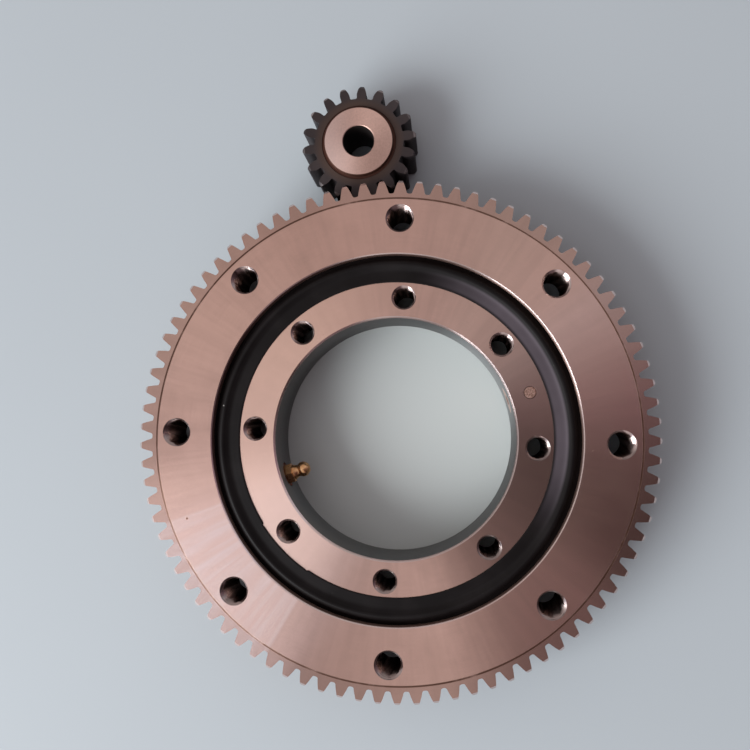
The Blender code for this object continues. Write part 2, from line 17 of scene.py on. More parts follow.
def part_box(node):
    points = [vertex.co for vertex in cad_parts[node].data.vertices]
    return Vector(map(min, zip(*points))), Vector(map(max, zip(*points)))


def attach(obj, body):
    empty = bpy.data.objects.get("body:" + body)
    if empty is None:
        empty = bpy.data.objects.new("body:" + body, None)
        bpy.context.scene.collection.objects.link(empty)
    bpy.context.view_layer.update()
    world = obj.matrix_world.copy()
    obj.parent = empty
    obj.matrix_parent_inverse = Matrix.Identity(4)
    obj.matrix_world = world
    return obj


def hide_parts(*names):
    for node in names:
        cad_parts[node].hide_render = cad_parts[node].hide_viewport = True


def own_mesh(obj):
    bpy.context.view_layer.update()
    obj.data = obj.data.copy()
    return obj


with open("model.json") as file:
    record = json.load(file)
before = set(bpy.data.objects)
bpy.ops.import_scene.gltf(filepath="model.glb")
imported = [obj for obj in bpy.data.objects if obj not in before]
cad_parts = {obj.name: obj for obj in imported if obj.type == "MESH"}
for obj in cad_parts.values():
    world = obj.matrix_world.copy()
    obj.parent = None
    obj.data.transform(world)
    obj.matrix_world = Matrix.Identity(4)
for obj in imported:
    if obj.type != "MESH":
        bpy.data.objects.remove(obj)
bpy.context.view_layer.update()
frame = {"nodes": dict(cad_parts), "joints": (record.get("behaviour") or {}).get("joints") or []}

bl_info = {
    "name": "Slewing Ring Bearing",
    "version": (1, 0, 0),
    "blender": (4, 5, 0),
    "location": "3D View > Sidebar > Bearing",
    "description": "Makes the finished pieces of a geared slewing ring and its pinion",
    "category": "Object",
}

MM = 0.001
GAP = 0.3 * MM
WELD = 0.002 * MM
CREASE = radians(14)
SOFT_CREASE = radians(40)
NIPPLE_CREASE = radians(26)
TURN = 2 * pi

JOINTS = {joint["name"]: joint for joint in frame["joints"]}
RING_AXIS = Vector((*JOINTS["outer_ring_turn"]["pos_m"][:2], 0))
PINION_AXIS = Vector((*JOINTS["pinion_turn"]["pos_m"][:2], 0))
OUTER_BOTTOM, OUTER_TOP = (corner.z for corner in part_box("outer_gear_ring"))
INNER_BOTTOM, INNER_TOP = (corner.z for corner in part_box("inner_ring"))
PINION_BOTTOM, PINION_TOP = (corner.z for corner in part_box("pinion"))
BALL_HEIGHT = JOINTS["outer_ring_turn"]["pos_m"][2]
BALL_NODES = sorted(name for name in frame["nodes"] if name.startswith("ball_") and name != "ball_cage")
TOWARDS_PINION = pi / 2
SEGMENTS_PER_RING_TOOTH = 4
SEGMENTS_PER_PINION_TOOTH = 8
RING_SEGMENTS = 288
SEAL_SEGMENTS = 720
TOOL_SIDES = 64
HOLE_SIDES = 44
PIN_SIDES = 40
RACEWAY_STEPS = 10
NIPPLE_SIDES = 48
NIPPLE_ROWS_PER_TURN = 10
CHANNEL_SIDES = 32
WINDOW_SIDES = 40
HOLE_ROWS_PER_TURN = 8
BALL_SUBDIVISIONS = 4
PLUG_FIT = 0.03 * MM
PIN_FIT = 0.12 * MM
SEAL_FIT = 0.15 * MM


# Settings -----------------------------------------------------------------------------------------


def length(name, description, millimetres):
    return FloatProperty(
        name=name, description=description, default=millimetres * MM, min=0.0, precision=5,
        unit="LENGTH", subtype="DISTANCE",
    )


def turn(name, description, degrees):
    return FloatProperty(
        name=name, description=description, default=radians(degrees), unit="ROTATION", subtype="ANGLE"
    )


def colour(name, description, value):
    return FloatVectorProperty(
        name=name, description=description, default=value, size=3, min=0.0, max=1.0, subtype="COLOR"
    )


def count(name, description, value):
    return IntProperty(name=name, description=description, default=value, min=3)


class ToothSettings(bpy.types.PropertyGroup):
    module: length("Module", "Pitch diameter divided by the number of teeth", 2.5)
    pressure_angle: turn("Pressure Angle", "Slope of the flanks at the pitch circle", 20)
    ring_teeth: count("Ring Teeth", "Teeth on the outer ring", 85)
    pinion_teeth: count("Pinion Teeth", "Teeth on the pinion", 18)
    thinning: length("Thinning", "What is taken off each tooth for backlash", 0.2)
    root_fillet: length("Root Fillet", "Height of the eased corner at a tooth's foot", 0.75)
    tip_chamfer: length("Tip Chamfer", "Turned chamfer at both ends of the teeth", 1.0)
    ring_tip_round: length("Ring Tip Rounding", "Rounding along the ring's tooth tips", 0.25)
    pinion_tip_round: length("Pinion Tip Rounding", "Rounding along the pinion's tooth tips", 0.6)


class RingSettings(bpy.types.PropertyGroup):
    bore: length("Bore", "Radius of the inner ring's bore", 50.5)
    bore_chamfer: length("Bore Chamfer", "Chamfer at both ends of the bore", 0.8)
    inner_shoulder: length("Inner Shoulder", "Outside of the inner ring beside the seals", 66.6)
    lip_chamfer: length("Lip Chamfer", "Chamfer of the inner ring under the seal's lip", 0.3)
    inner_land: length("Inner Land", "Outside of the inner ring beside the balls", 70.3)
    outer_shoulder: length("Outer Shoulder", "Inside of the outer ring beside the seals", 77.3)
    outer_land: length("Outer Land", "Inside of the outer ring beside the balls", 73.0)
    land_top: length("Land Top", "Height at which the lands end", 23.5)
    land_bottom: length("Land Bottom", "Height at which the lands begin", 8.5)
    tooth_step: length("Tooth Step", "Radius at which the face steps down to the teeth", 100.9)
    step_depth: length("Step Depth", "How far the teeth lie below the face", 0.4)
    edge_chamfer: length("Edge Chamfer", "Chamfer on the rings' edges beside the seals", 0.5)
    edge_break: length("Edge Break", "Easing of every turned corner", 0.12)
    slot_radius: length("Slot Radius", "Bottom of the slots that hold the seals", 79.3)
    slot_width: length("Slot Width", "Height of the slots that hold the seals", 1.9)
    upper_slot: length("Upper Slot", "Height of the upper slot's floor", 25.6)
    lower_slot: length("Lower Slot", "Height of the lower slot's floor", 4.9)


class RollingSettings(bpy.types.PropertyGroup):
    ball_radius: length("Ball Radius", "Radius of the balls", 5.0)
    ball_circle: length("Ball Circle", "Radius of the circle through the balls' centres", 71.65)
    raceway_radius: length("Raceway Radius", "Radius of each half of the pointed arch", 5.4)
    raceway_arch: length("Raceway Arch", "How far the halves' centres stand apart, halved", 0.12)
    cage_thickness: length("Cage Thickness", "Thickness of the cage's wall", 1.8)
    cage_height: length("Cage Height", "Height of the cage", 12.6)


class HoleSettings(bpy.types.PropertyGroup):
    holes: count("Holes", "Tapped holes in each ring", 8)
    outer_circle: length("Outer Circle", "Radius of the outer ring's hole circle", 92.5)
    outer_core: length("Outer Core", "Radius inside the outer threads", 5.1)
    outer_root: length("Outer Root", "Radius at the bottom of the outer threads", 5.8)
    outer_rim: length("Outer Rim", "Radius of the outer holes' countersinks", 6.0)
    outer_pitch: length("Outer Pitch", "Height of one turn of the outer threads", 1.75)
    inner_circle: length("Inner Circle", "Radius of the inner ring's hole circle", 59.2)
    inner_core: length("Inner Core", "Radius inside the inner threads", 4.3)
    inner_root: length("Inner Root", "Radius at the bottom of the inner threads", 4.9)
    inner_rim: length("Inner Rim", "Radius of the inner holes' countersinks", 5.15)
    inner_pitch: length("Inner Pitch", "Height of one turn of the inner threads", 1.5)
    inner_lag: turn("Inner Lag", "How far the inner holes lag behind the outer ones", 2.33)


class PlugSettings(bpy.types.PropertyGroup):
    radius: length("Plug Radius", "Radius of the plug that closes the loading hole", 5.7)
    extractor: length("Extractor Hole", "Radius of the hole the plug is pulled out by", 2.1)
    extractor_end: length("Extractor End", "Radius from the ring's axis where that hole ends", 55.0)
    pin_radius: length("Pin Radius", "Radius of the taper pin's head", 2.5)
    pin_taper: length("Pin Taper", "How much thinner the pin's foot is", 0.2)
    pin_bottom: length("Pin Bottom", "Height of the pin's foot", 8.0)


class SealSettings(bpy.types.PropertyGroup):
    lip: length("Lip", "Radius of the upper lip's edge", 65.6)
    ridge: length("Ridge", "Radius of the rounded ridge on the upper seal", 73.05)
    splice_start: turn("Splice Start", "Where the joined stretch of the lip begins", 206.3)
    splice_end: turn("Splice End", "Where the joined stretch of the lip ends", 229.4)
    splice_shift: length("Splice Shift", "How far the lip stands back along that stretch", 0.5)
    notch: length("Notch", "Depth of the nick at each end of that stretch", 0.35)


class NippleSettings(bpy.types.PropertyGroup):
    spot_face: length("Spot Face", "Radius from the ring's axis at which the hexagon seats", 51.4)
    spot_radius: length("Spot Face Radius", "Radius of the spot face", 5.5)
    thread_radius: length("Thread Radius", "Radius over the thread", 3.0)
    thread_length: length("Thread Length", "Length of the threaded shank", 5.5)
    hex_height: length("Hexagon Height", "Height of the hexagon", 4.0)
    hex_radius: length("Hexagon Radius", "Radius over the hexagon's corners", 4.6)
    mouth: length("Mouth", "Radius of the mouth", 0.85)
    chamber: length("Chamber", "Radius of the check ball's chamber", 1.7)
    chamber_start: length("Chamber Start", "Where the chamber begins, from the seat", 2.5)
    valve_seat: length("Valve Seat", "Where the chamber narrows to the mouth", 9.4)


class PinionSettings(bpy.types.PropertyGroup):
    face: length("Face", "Height of the toothed part", 25.0)
    hub: length("Hub", "Radius of the raised hub face", 15.0)
    groove: length("Groove", "Outer radius of the groove round the hub", 16.2)
    groove_depth: length("Groove Depth", "Depth of that groove below the toothed face", 0.3)
    bore: length("Bore", "Radius of the bore", 6.75)
    chamfer: length("Chamfer", "Chamfer at the bore and round the hub", 0.35)


class FinishSettings(bpy.types.PropertyGroup):
    steel: colour("Ground Steel", "Colour of the rings' ground faces", (0.76, 0.50, 0.42))
    steel_shade: colour("Steel Shade", "Colour of the steel's darker stains", (0.64, 0.42, 0.35))
    # Painted highlight: this colour is painted on the chamfers, on the outer ring's fan and on the left
    # of the pinion's hub.
    highlight_steel: colour("Bright Steel", "Colour of the chamfers and worn edges", (0.92, 0.80, 0.78))
    rust: colour("Rust", "Colour of rust in grooves and specks", (0.13, 0.055, 0.03))
    # Oiled steel also serves as painted shade on the rings' shaded side and on the right of the pinion's
    # hub.
    oiled_and_shade: colour("Oiled Steel", "Colour of oiled, unground steel", (0.17, 0.115, 0.098))
    bore: colour("Bore Wall", "Colour of the bore's wall", (0.15, 0.155, 0.155))
    black_oxide: colour("Black Oxide", "Colour of the pinion's blackened teeth", (0.030, 0.023, 0.026))
    rubber: colour("Rubber", "Colour of the seals", (0.0065, 0.005, 0.005))
    # Painted sheen: this colour stands for reflected light on one side of the upper seal.
    painted_sheen: colour("Dust Film", "Colour of the dust that lies on the seals", (0.10, 0.083, 0.095))
    brass: colour("Brass", "Colour of the grease nipple", (0.86, 0.50, 0.25))
    nylon: colour("Nylon", "Colour of the cage", (0.72, 0.66, 0.54))
    ball_steel: colour("Ball Steel", "Colour of the polished balls", (0.66, 0.66, 0.68))
    # Painted light: this colour lightens the inner ring's lit side.
    lit_side_steel: colour("Pale Steel", "Colour of the inner ring's pale side", (0.95, 0.66, 0.54))
    # Painted shade: this colour darkens the insides of the tapped holes and the pinion's bore.
    hole_shade: colour("Hole Shade", "Colour deep inside the holes", (0.02, 0.016, 0.014))
    rubber_bloom: colour("Rubber Bloom", "Colour of the rubber's paler clouds", (0.016, 0.013, 0.013))
    dust: colour("Dust", "Colour of the dust specks", (0.30, 0.28, 0.26))
    oxide_bloom: colour("Oxide Bloom", "Colour of the oxide's paler clouds", (0.055, 0.040, 0.040))
    oxide_face: colour("Oxide Face", "Colour of the pinion's toothed face", (0.052, 0.039, 0.037))
    oxide_brown: colour("Brown Oxide", "Colour of that face near the hub", (0.085, 0.050, 0.036))
    oxide_worn: colour("Worn Oxide", "Colour where the oxide is rubbed off", (0.36, 0.31, 0.30))
    groove_rust: colour("Groove Rust", "Colour of the rust round the hub", (0.09, 0.032, 0.018))
    brass_shade: colour("Brass Shade", "Colour of the brass's darker clouds", (0.45, 0.20, 0.07))
    nylon_shade: colour("Nylon Shade", "Colour of the nylon's darker grain", (0.56, 0.49, 0.37))
    ball_haze: colour("Ball Haze", "Colour of the haze on the balls", (0.45, 0.43, 0.42))


# Where the painted light and shade lie, and where the real marks are.
class MarkAndLightSettings(bpy.types.PropertyGroup):
    # Painted reflection: where the bright fan painted on the outer ring begins and ends.
    reflection_fan_start: turn("Fan Start", "Where the outer ring's bright fan begins", -166)
    reflection_fan_end: turn("Fan End", "Where that fan ends", -128.5)
    # Painted light: the bearing of the inner ring's lit side.
    lit_side: turn("Pale Side", "Bearing of the inner ring's pale side", 165)
    # Painted shade: the bearing of the rings' side that is painted darker.
    shaded_side: turn("Oily Side", "Bearing of the rings' oily side", -15)
    nick_angle: turn("Nick Angle", "Bearing of the small nick in the outer ring", 194.2)
    nick_radius: length("Nick Radius", "Radius at which that nick lies", 93.8)
    # Painted sheen: where the reflected light painted on the upper seal begins and ends.
    painted_sheen_start: turn("Film Start", "Where the dust film on the seal begins", -8)
    painted_sheen_end: turn("Film End", "Where that film ends", 42)
    mark_angle: turn("Mark Angle", "Bearing of the pale mark on the seal", 162.3)
    mark_radius: length("Mark Radius", "Radius at which that mark lies", 73.7)


WINDOW_PLACE = Vector((-1.62, -0.86, 1.15))
WINDOW_SIZE = (1.6, 1.3)
FLOOR_HALF_WIDTH = 2.0
SENSOR_WIDTH = 36.0
CAMERA_PLACE = (0.02135, -0.01723, 0.36822)
CAMERA_TILT = (3.166, 4.848, -6.949)

# The room's colour at each compass bearing, in degrees.
SKY = (
    (0, (0.13, 0.09, 0.108)),
    (10, (0.17, 0.13, 0.15)),
    (20, (0.25, 0.23, 0.25)),
    (32, (0.31, 0.31, 0.34)),
    (42, (0.31, 0.285, 0.29)),
    (62, (0.27, 0.26, 0.26)),
    (90, (0.30, 0.27, 0.27)),
    (120, (0.32, 0.285, 0.28)),
    (150, (0.385, 0.36, 0.355)),
    (178, (0.42, 0.40, 0.41)),
    (188, (0.46, 0.45, 0.47)),
    (196, (0.47, 0.49, 0.55)),
    (212, (0.43, 0.455, 0.51)),
    (231, (0.365, 0.375, 0.42)),
    (234, (0.25, 0.23, 0.23)),
    (266, (0.41, 0.385, 0.39)),
    (281, (0.10, 0.072, 0.078)),
    (303, (0.125, 0.092, 0.10)),
    (315, (0.02, 0.01, 0.011)),
    (340, (0.05, 0.033, 0.037)),
    (359, (0.125, 0.088, 0.105)),
)


class StageSettings(bpy.types.PropertyGroup):
    floor: colour("Floor", "Colour of the floor", (0.475, 0.52, 0.545))
    # Painted light: the colour the floor is painted inside the ring.
    painted_light_floor: colour("Sheltered Floor", "Colour of the floor inside the ring", (0.58, 0.617, 0.60))
    lens: FloatProperty(
        name="Lens", description="Focal length on a 36 mm wide sensor", default=38.87, min=1.0,
        unit="CAMERA",
    )
    window_power: FloatProperty(
        name="Window Power", description="Power of the large soft light on the left", default=56.0,
        unit="POWER",
    )
    window_colour: colour("Window Colour", "Colour of that light", (0.95, 0.98, 1.0))
    sky: FloatProperty(
        name="Room Light", description="Brightness of the light from all round", default=1.8, min=0.0
    )


# Profiles and surfaces ----------------------------------------------------------------------------


def rounded(start, corner, end, steps):
    """A rounded corner from start to end, as pairs."""
    start, corner, end = Vector(start), Vector(corner), Vector(end)
    shares = [k / steps for k in range(steps + 1)]
    return [tuple(start.lerp(corner, t).lerp(corner.lerp(end, t), t)) for t in shares]


def eased(profile, radius, steps=2):
    """An open line of (radius, height) whose inner corners are rounded."""
    points = [Vector(point) for point in profile]
    line = [tuple(points[0])]
    for before, corner, after in zip(points, points[1:], points[2:]):
        reach = min(radius, (corner - before).length * 0.4, (after - corner).length * 0.4)
        start = corner + (before - corner).normalized() * reach
        end = corner + (after - corner).normalized() * reach
        line += rounded(start, corner, end, steps)
    return line + [tuple(points[-1])]


def flowing(points, steps):
    """A smooth line through all of these (radius, height) points."""
    known = [Vector(point) for point in (points[0], *points, points[-1])]
    line = []
    for a, b, c, d in zip(known, known[1:], known[2:], known[3:]):
        for k in range(steps):
            t = k / steps
            line.append(0.5 * (2 * b + (c - a) * t + (2 * a - 5 * b + 4 * c - d) * t**2
                               + (3 * b - a - 3 * c + d) * t**3))
    return [tuple(point) for point in line + [known[-1]]]


def circle(radius, height, segments, start=0.0, centre=RING_AXIS):
    steps = [start + TURN * k / segments for k in range(segments)]
    return [(centre.x + radius * cos(a), centre.y + radius * sin(a), height) for a in steps]


def turned(profile, segments, start=0.0, centre=RING_AXIS):
    return [circle(radius, height, segments, start, centre) for radius, height in profile]


def thread_radius(core, root, turns):
    """Radius of a thread with flat crests, this many turns along it."""
    wave = abs(turns % 1.0 - 0.5) * 2
    return core + (root - core) * min(1.0, max(0.0, (wave - 0.15) / 0.7))


class Surface:
    """Loops, strips and flat faces that are welded into one closed mesh."""

    def __init__(self):
        self.bm = bmesh.new()

    def strips(self, loops, closed=True):
        rows = [[self.bm.verts.new(point) for point in loop] for loop in loops]
        for low, high in zip(rows, rows[1:]):
            for k in range(len(low) if closed else len(low) - 1):
                after = (k + 1) % len(low)
                self.bm.faces.new((low[k], low[after], high[after], high[k])).smooth = True
        return rows

    def lathe(self, levels, segments, place):
        """A closed solid about +Z of place, from its (height, radius) levels."""
        loops = []
        for height, radius in levels:
            loop = circle(radius, height, segments, centre=Vector((0, 0, 0)))
            loops.append([place @ Vector(point) for point in loop])
        self.capped(loops)

    def capped(self, loops):
        rows = self.strips(loops)
        self.bm.faces.new(rows[0])
        self.bm.faces.new(rows[-1])

    def flat(self, loops, height):
        """A flat face inside the first of these loops, pierced by the others, which are convex."""
        points, edges, owners = [], [], []
        for owner, loop in enumerate(loops):
            start = len(points)
            points += [Vector((point[0] / MM, point[1] / MM)) for point in loop]
            edges += [(start + k, start + (k + 1) % len(loop)) for k in range(len(loop))]
            owners += [owner] * len(loop)
        inside = 1
        placed, _, faces, *_ = delaunay_2d_cdt(points, edges, [], inside, 1e-6)
        corners = [self.bm.verts.new((x * MM, y * MM, height)) for x, y in placed]
        for face in faces:
            touched = {owners[k] for k in face}
            if len(touched) > 1 or touched == {0}:
                self.bm.faces.new([corners[k] for k in face])

    def add(self, mesh):
        self.bm.from_mesh(mesh)

    def patch(self, name):
        """The surface as an open mesh, for the tree that copies it round an axis."""
        mesh = bpy.data.meshes.new(name)
        self.bm.to_mesh(mesh)
        self.bm.free()
        return mesh

    def solid(self, name, crease=CREASE):
        """The surface as one closed mesh that faces outwards."""
        bmesh.ops.remove_doubles(self.bm, verts=self.bm.verts, dist=WELD)
        bmesh.ops.recalc_face_normals(self.bm, faces=self.bm.faces)
        open_edges = sum(not edge.is_manifold for edge in self.bm.edges)
        if open_edges:
            raise RuntimeError(f"{name} has {open_edges} open edges")
        mesh = self.patch(name)
        mesh.set_sharp_from_angle(angle=crease)
        return mesh


def scratch_object(name, mesh):
    obj = bpy.data.objects.new(name, mesh)
    bpy.context.collection.objects.link(obj)
    return obj


def evaluated_mesh(obj, name):
    """What the object's modifiers make, as a plain mesh; the object itself is removed."""
    bpy.context.view_layer.update()
    graph = bpy.context.evaluated_depsgraph_get()
    mesh = bpy.data.meshes.new_from_object(obj.evaluated_get(graph), depsgraph=graph)
    mesh.name = name
    obj.modifiers.clear()
    bpy.data.objects.remove(obj, do_unlink=True)
    return mesh


def carved(name, blank, cuts, crease=CREASE):
    """The blank mesh after a run of (operation, tool mesh) cuts."""
    obj = scratch_object(name, blank)
    tools = []
    for operation, mesh in cuts:
        tool = scratch_object(f"{name}_tool", mesh)
        step = obj.modifiers.new(operation.title(), "BOOLEAN")
        step.operation, step.object, step.solver = operation, tool, "EXACT"
        tools.append(tool)
    mesh = evaluated_mesh(obj, name)
    for tool in tools:
        bpy.data.objects.remove(tool, do_unlink=True)
    mesh.set_sharp_from_angle(angle=crease)
    return mesh


# Trees that repeat or follow ----------------------------------------------------------------------


class Nodes:
    """The nodes of one tree, all made by one method."""

    def __init__(self, tree):
        self.tree = tree

    def node(self, kind, settings=None, sockets=None):
        """Any node: its settings are set first, then the values or links of its sockets."""
        made = self.tree.nodes.new(kind)
        for key, value in (settings or {}).items():
            setattr(made, key, value)
        for key, value in (sockets or {}).items():
            value = getattr(value, "socket", value)
            if isinstance(value, bpy.types.NodeSocket):
                self.tree.links.new(value, made.inputs[key])
            else:
                made.inputs[key].default_value = value
        return made


class Tree(Nodes):
    """A geometry tree under construction, with its named inputs."""

    def __init__(self, name):
        super().__init__(bpy.data.node_groups.new(name, "GeometryNodeTree"))
        self.tree.interface.new_socket("Geometry", in_out="OUTPUT", socket_type="NodeSocketGeometry")
        self.inputs = self.tree.nodes.new("NodeGroupInput")
        self.output = self.tree.nodes.new("NodeGroupOutput")

    def input(self, name, kind, description):
        made = self.tree.interface.new_socket(name, in_out="INPUT", socket_type=kind)
        made.description = description
        return self.inputs.outputs[name]

    def finish(self, geometry):
        """Ends the tree in real geometry with its finish."""
        real = self.node("GeometryNodeRealizeInstances", sockets={"Geometry": geometry})
        finish = self.input("Finish", "NodeSocketMaterial", "Material of the result")
        dressed = self.node(
            "GeometryNodeSetMaterial", sockets={"Geometry": real.outputs[0], "Material": finish}
        )
        self.tree.links.new(dressed.outputs[0], self.output.inputs[0])
        return self.tree


def copies_tree():
    """Copies one object round an upright axis."""
    tree = Tree("copies_round_an_axis")
    patch = tree.input("Patch", "NodeSocketObject", "What is copied, in place for an angle of zero")
    copies = tree.input("Copies", "NodeSocketInt", "How many copies stand round the axis")
    axis = tree.input("Axis", "NodeSocketVector", "A point on the axis")
    first = tree.input("First Angle", "NodeSocketFloat", "Where the first copy stands")
    shape = tree.node("GeometryNodeObjectInfo", sockets={"Object": patch})
    points = tree.node(
        "GeometryNodeMeshLine", {"mode": "OFFSET"},
        {"Count": copies, "Start Location": axis, "Offset": (0, 0, 0)},
    )
    step = tree.node("ShaderNodeMath", {"operation": "DIVIDE"}, {0: TURN, 1: copies})
    index = tree.node("GeometryNodeInputIndex")
    angle = tree.node(
        "ShaderNodeMath", {"operation": "MULTIPLY_ADD"},
        {0: index.outputs[0], 1: step.outputs[0], 2: first},
    )
    rotation = tree.node("ShaderNodeCombineXYZ", sockets={"Z": angle.outputs[0]})
    placed = tree.node(
        "GeometryNodeInstanceOnPoints",
        sockets={
            "Points": points.outputs[0], "Instance": shape.outputs["Geometry"],
            "Rotation": rotation.outputs[0],
        },
    )
    return tree.finish(placed.outputs[0])


def spring_tree():
    """A coil of round wire that stands on the origin, along +Z."""
    tree = Tree("coil_spring")
    turns = tree.input("Turns", "NodeSocketFloat", "How many turns the coil has")
    radius = tree.input("Radius", "NodeSocketFloat", "Radius of the wire's centreline")
    height = tree.input("Height", "NodeSocketFloat", "Height of the centreline")
    wire = tree.input("Wire", "NodeSocketFloat", "Radius of the wire")
    coil = tree.node(
        "GeometryNodeCurveSpiral",
        sockets={"Resolution": 28, "Rotations": turns, "Start Radius": radius, "End Radius": radius,
                 "Height": height},
    )
    section = tree.node("GeometryNodeCurvePrimitiveCircle", sockets={"Resolution": 10, "Radius": wire})
    swept = tree.node(
        "GeometryNodeCurveToMesh",
        sockets={"Curve": coil.outputs[0], "Profile Curve": section.outputs[0], "Fill Caps": True},
    )
    smooth = tree.node("GeometryNodeSetShadeSmooth", sockets={0: swept.outputs[0]})
    return tree.finish(smooth.outputs[0])


def grown(name, group, values):
    """The plain mesh that a tree makes from these named inputs."""
    host = scratch_object(name, bpy.data.meshes.new(name))
    step = host.modifiers.new(group.name, "NODES")
    step.node_group = group
    for item in group.interface.items_tree:
        if item.item_type == "SOCKET" and item.in_out == "INPUT":
            step[item.identifier] = values[item.name]
    return evaluated_mesh(host, name)


def copied_round(patch, copies, axis, first_angle, finish):
    group = bpy.data.node_groups.get("copies_round_an_axis") or copies_tree()
    source = scratch_object(patch.name, patch)
    values = {
        "Patch": source, "Copies": copies, "Axis": tuple(axis), "First Angle": first_angle,
        "Finish": finish,
    }
    mesh = grown(f"{patch.name}_copies", group, values)
    bpy.data.objects.remove(source, do_unlink=True)
    return mesh


# Gear teeth ---------------------------------------------------------------------------------------


def involute(angle):
    return tan(angle) - angle


class Gear:
    """The outline of one gear's teeth."""

    def __init__(self, teeth, sizes, tip_round):
        self.teeth = teeth
        self.sizes = sizes
        self.tip_round = tip_round
        self.pitch_radius = sizes.module * teeth / 2
        self.tip = self.pitch_radius + sizes.module
        self.root = self.pitch_radius - 1.25 * sizes.module
        self.half_pitch = pi / teeth

    def half_tooth(self, radius):
        base = self.pitch_radius * cos(self.sizes.pressure_angle)
        thickness = pi * self.sizes.module / 2 - self.sizes.thinning
        half_at_pitch = thickness / 2 / self.pitch_radius + involute(self.sizes.pressure_angle)
        return half_at_pitch - involute(acos(base / max(radius, base)))

    def side(self):
        """From the middle of a space up to the tip, as (radius, angle from the tooth's middle)."""
        root, foot, tip = self.root, self.root + self.sizes.root_fillet, self.tip
        corner = self.half_tooth(root)
        ease = self.sizes.root_fillet / root
        line = [(root, self.half_pitch), (root, (self.half_pitch + corner + ease) / 2)]
        line += rounded((root, corner + ease), (root, corner), (foot, self.half_tooth(foot)), 6)
        chamfered = tip - self.sizes.tip_chamfer
        round_start = tip - self.tip_round
        radii = [foot + (chamfered - foot) * k / 8 for k in range(1, 9)]
        radii += [chamfered + (round_start - chamfered) * k / 3 for k in range(1, 4)]
        line += [(radius, self.half_tooth(radius)) for radius in radii]
        corner = (tip, self.half_tooth(tip))
        line += rounded(line[-1], corner, (tip, corner[1] - self.tip_round / tip), 4)[1:]
        return line

    def sector(self, name, inner_radius, segments, bottom, top, columns=4):
        """One tooth about +X with the faces at its foot, open where its neighbours join it."""
        side = self.side()
        limit = self.tip - self.sizes.tip_chamfer

        def at(radius, angle, height):
            return (radius * cos(angle), radius * sin(angle), height)

        def drop(radius):
            return max(0.0, radius - limit)

        surface = Surface()
        half = [(radius, -angle) for radius, angle in side]
        tip_radius, tip_angle = side[-1]
        across = [(tip_radius, -tip_angle + 2 * tip_angle * k / columns) for k in range(1, columns)]
        outline = half + across + [(radius, angle) for radius, angle in side[::-1]]
        lower = [at(radius, angle, bottom + drop(radius)) for radius, angle in outline]
        upper = [at(radius, angle, top - drop(radius)) for radius, angle in outline]
        surface.strips([lower, upper], closed=False)
        tip_rows = [(radius, angle) for radius, angle in side if radius >= limit - WELD / 10]
        foot_side = [(radius, angle) for radius, angle in side if radius <= limit + WELD / 10]
        for height, sign in ((bottom, 1), (top, -1)):
            rows = []
            for radius, angle in tip_rows:
                spread = [-angle + 2 * angle * k / columns for k in range(columns + 1)]
                rows.append([at(radius, a, height + sign * drop(radius)) for a in spread])
            surface.strips(rows, closed=False)
            edge = [at(radius, -angle, height) for radius, angle in foot_side]
            edge += rows[0][1:-1]
            edge += [at(radius, angle, height) for radius, angle in foot_side[::-1]]
            inner = [self.half_pitch - 2 * self.half_pitch * k / segments for k in range(segments + 1)]
            edge += [at(inner_radius, a, height) for a in inner]
            surface.flat([edge], height)
        return surface.patch(name)


def ring_gear(context):
    teeth = context.scene.bearing_teeth
    return Gear(teeth.ring_teeth, teeth, teeth.ring_tip_round)


def pinion_gear(context):
    teeth = context.scene.bearing_teeth
    return Gear(teeth.pinion_teeth, teeth, teeth.pinion_tip_round)


def first_holes(context):
    """Angles of the first hole in the outer ring and in the inner one."""
    outer = TOWARDS_PINION - 2 * TURN / context.scene.bearing_teeth.ring_teeth
    return outer, outer - context.scene.bearing_holes.inner_lag


def plug_angle(context):
    return first_holes(context)[1] - 1.5 * TURN / context.scene.bearing_holes.holes


def along_radius(angle, height):
    """A frame on the ring's axis whose +Z runs outwards along a radius."""
    return (Matrix.Translation((*RING_AXIS.xy, height)) @ Matrix.Rotation(angle, 4, "Z")
            @ Matrix.Rotation(pi / 2, 4, "Y"))


# Finishes -----------------------------------------------------------------------------------------


class Value:
    """A shader socket that can be worked with in plain arithmetic."""

    def __init__(self, finish, socket):
        self.finish = finish
        self.socket = socket

    def __add__(self, other):
        return self.finish.maths("ADD", self, other)

    def __radd__(self, other):
        return self.finish.maths("ADD", other, self)

    def __sub__(self, other):
        return self.finish.maths("SUBTRACT", self, other)

    def __rsub__(self, other):
        return self.finish.maths("SUBTRACT", other, self)

    def __mul__(self, other):
        return self.finish.maths("MULTIPLY", self, other)

    def __rmul__(self, other):
        return self.finish.maths("MULTIPLY", other, self)

    def __truediv__(self, other):
        return self.finish.maths("DIVIDE", self, other)

    def __pow__(self, other):
        return self.finish.maths("POWER", self, other)


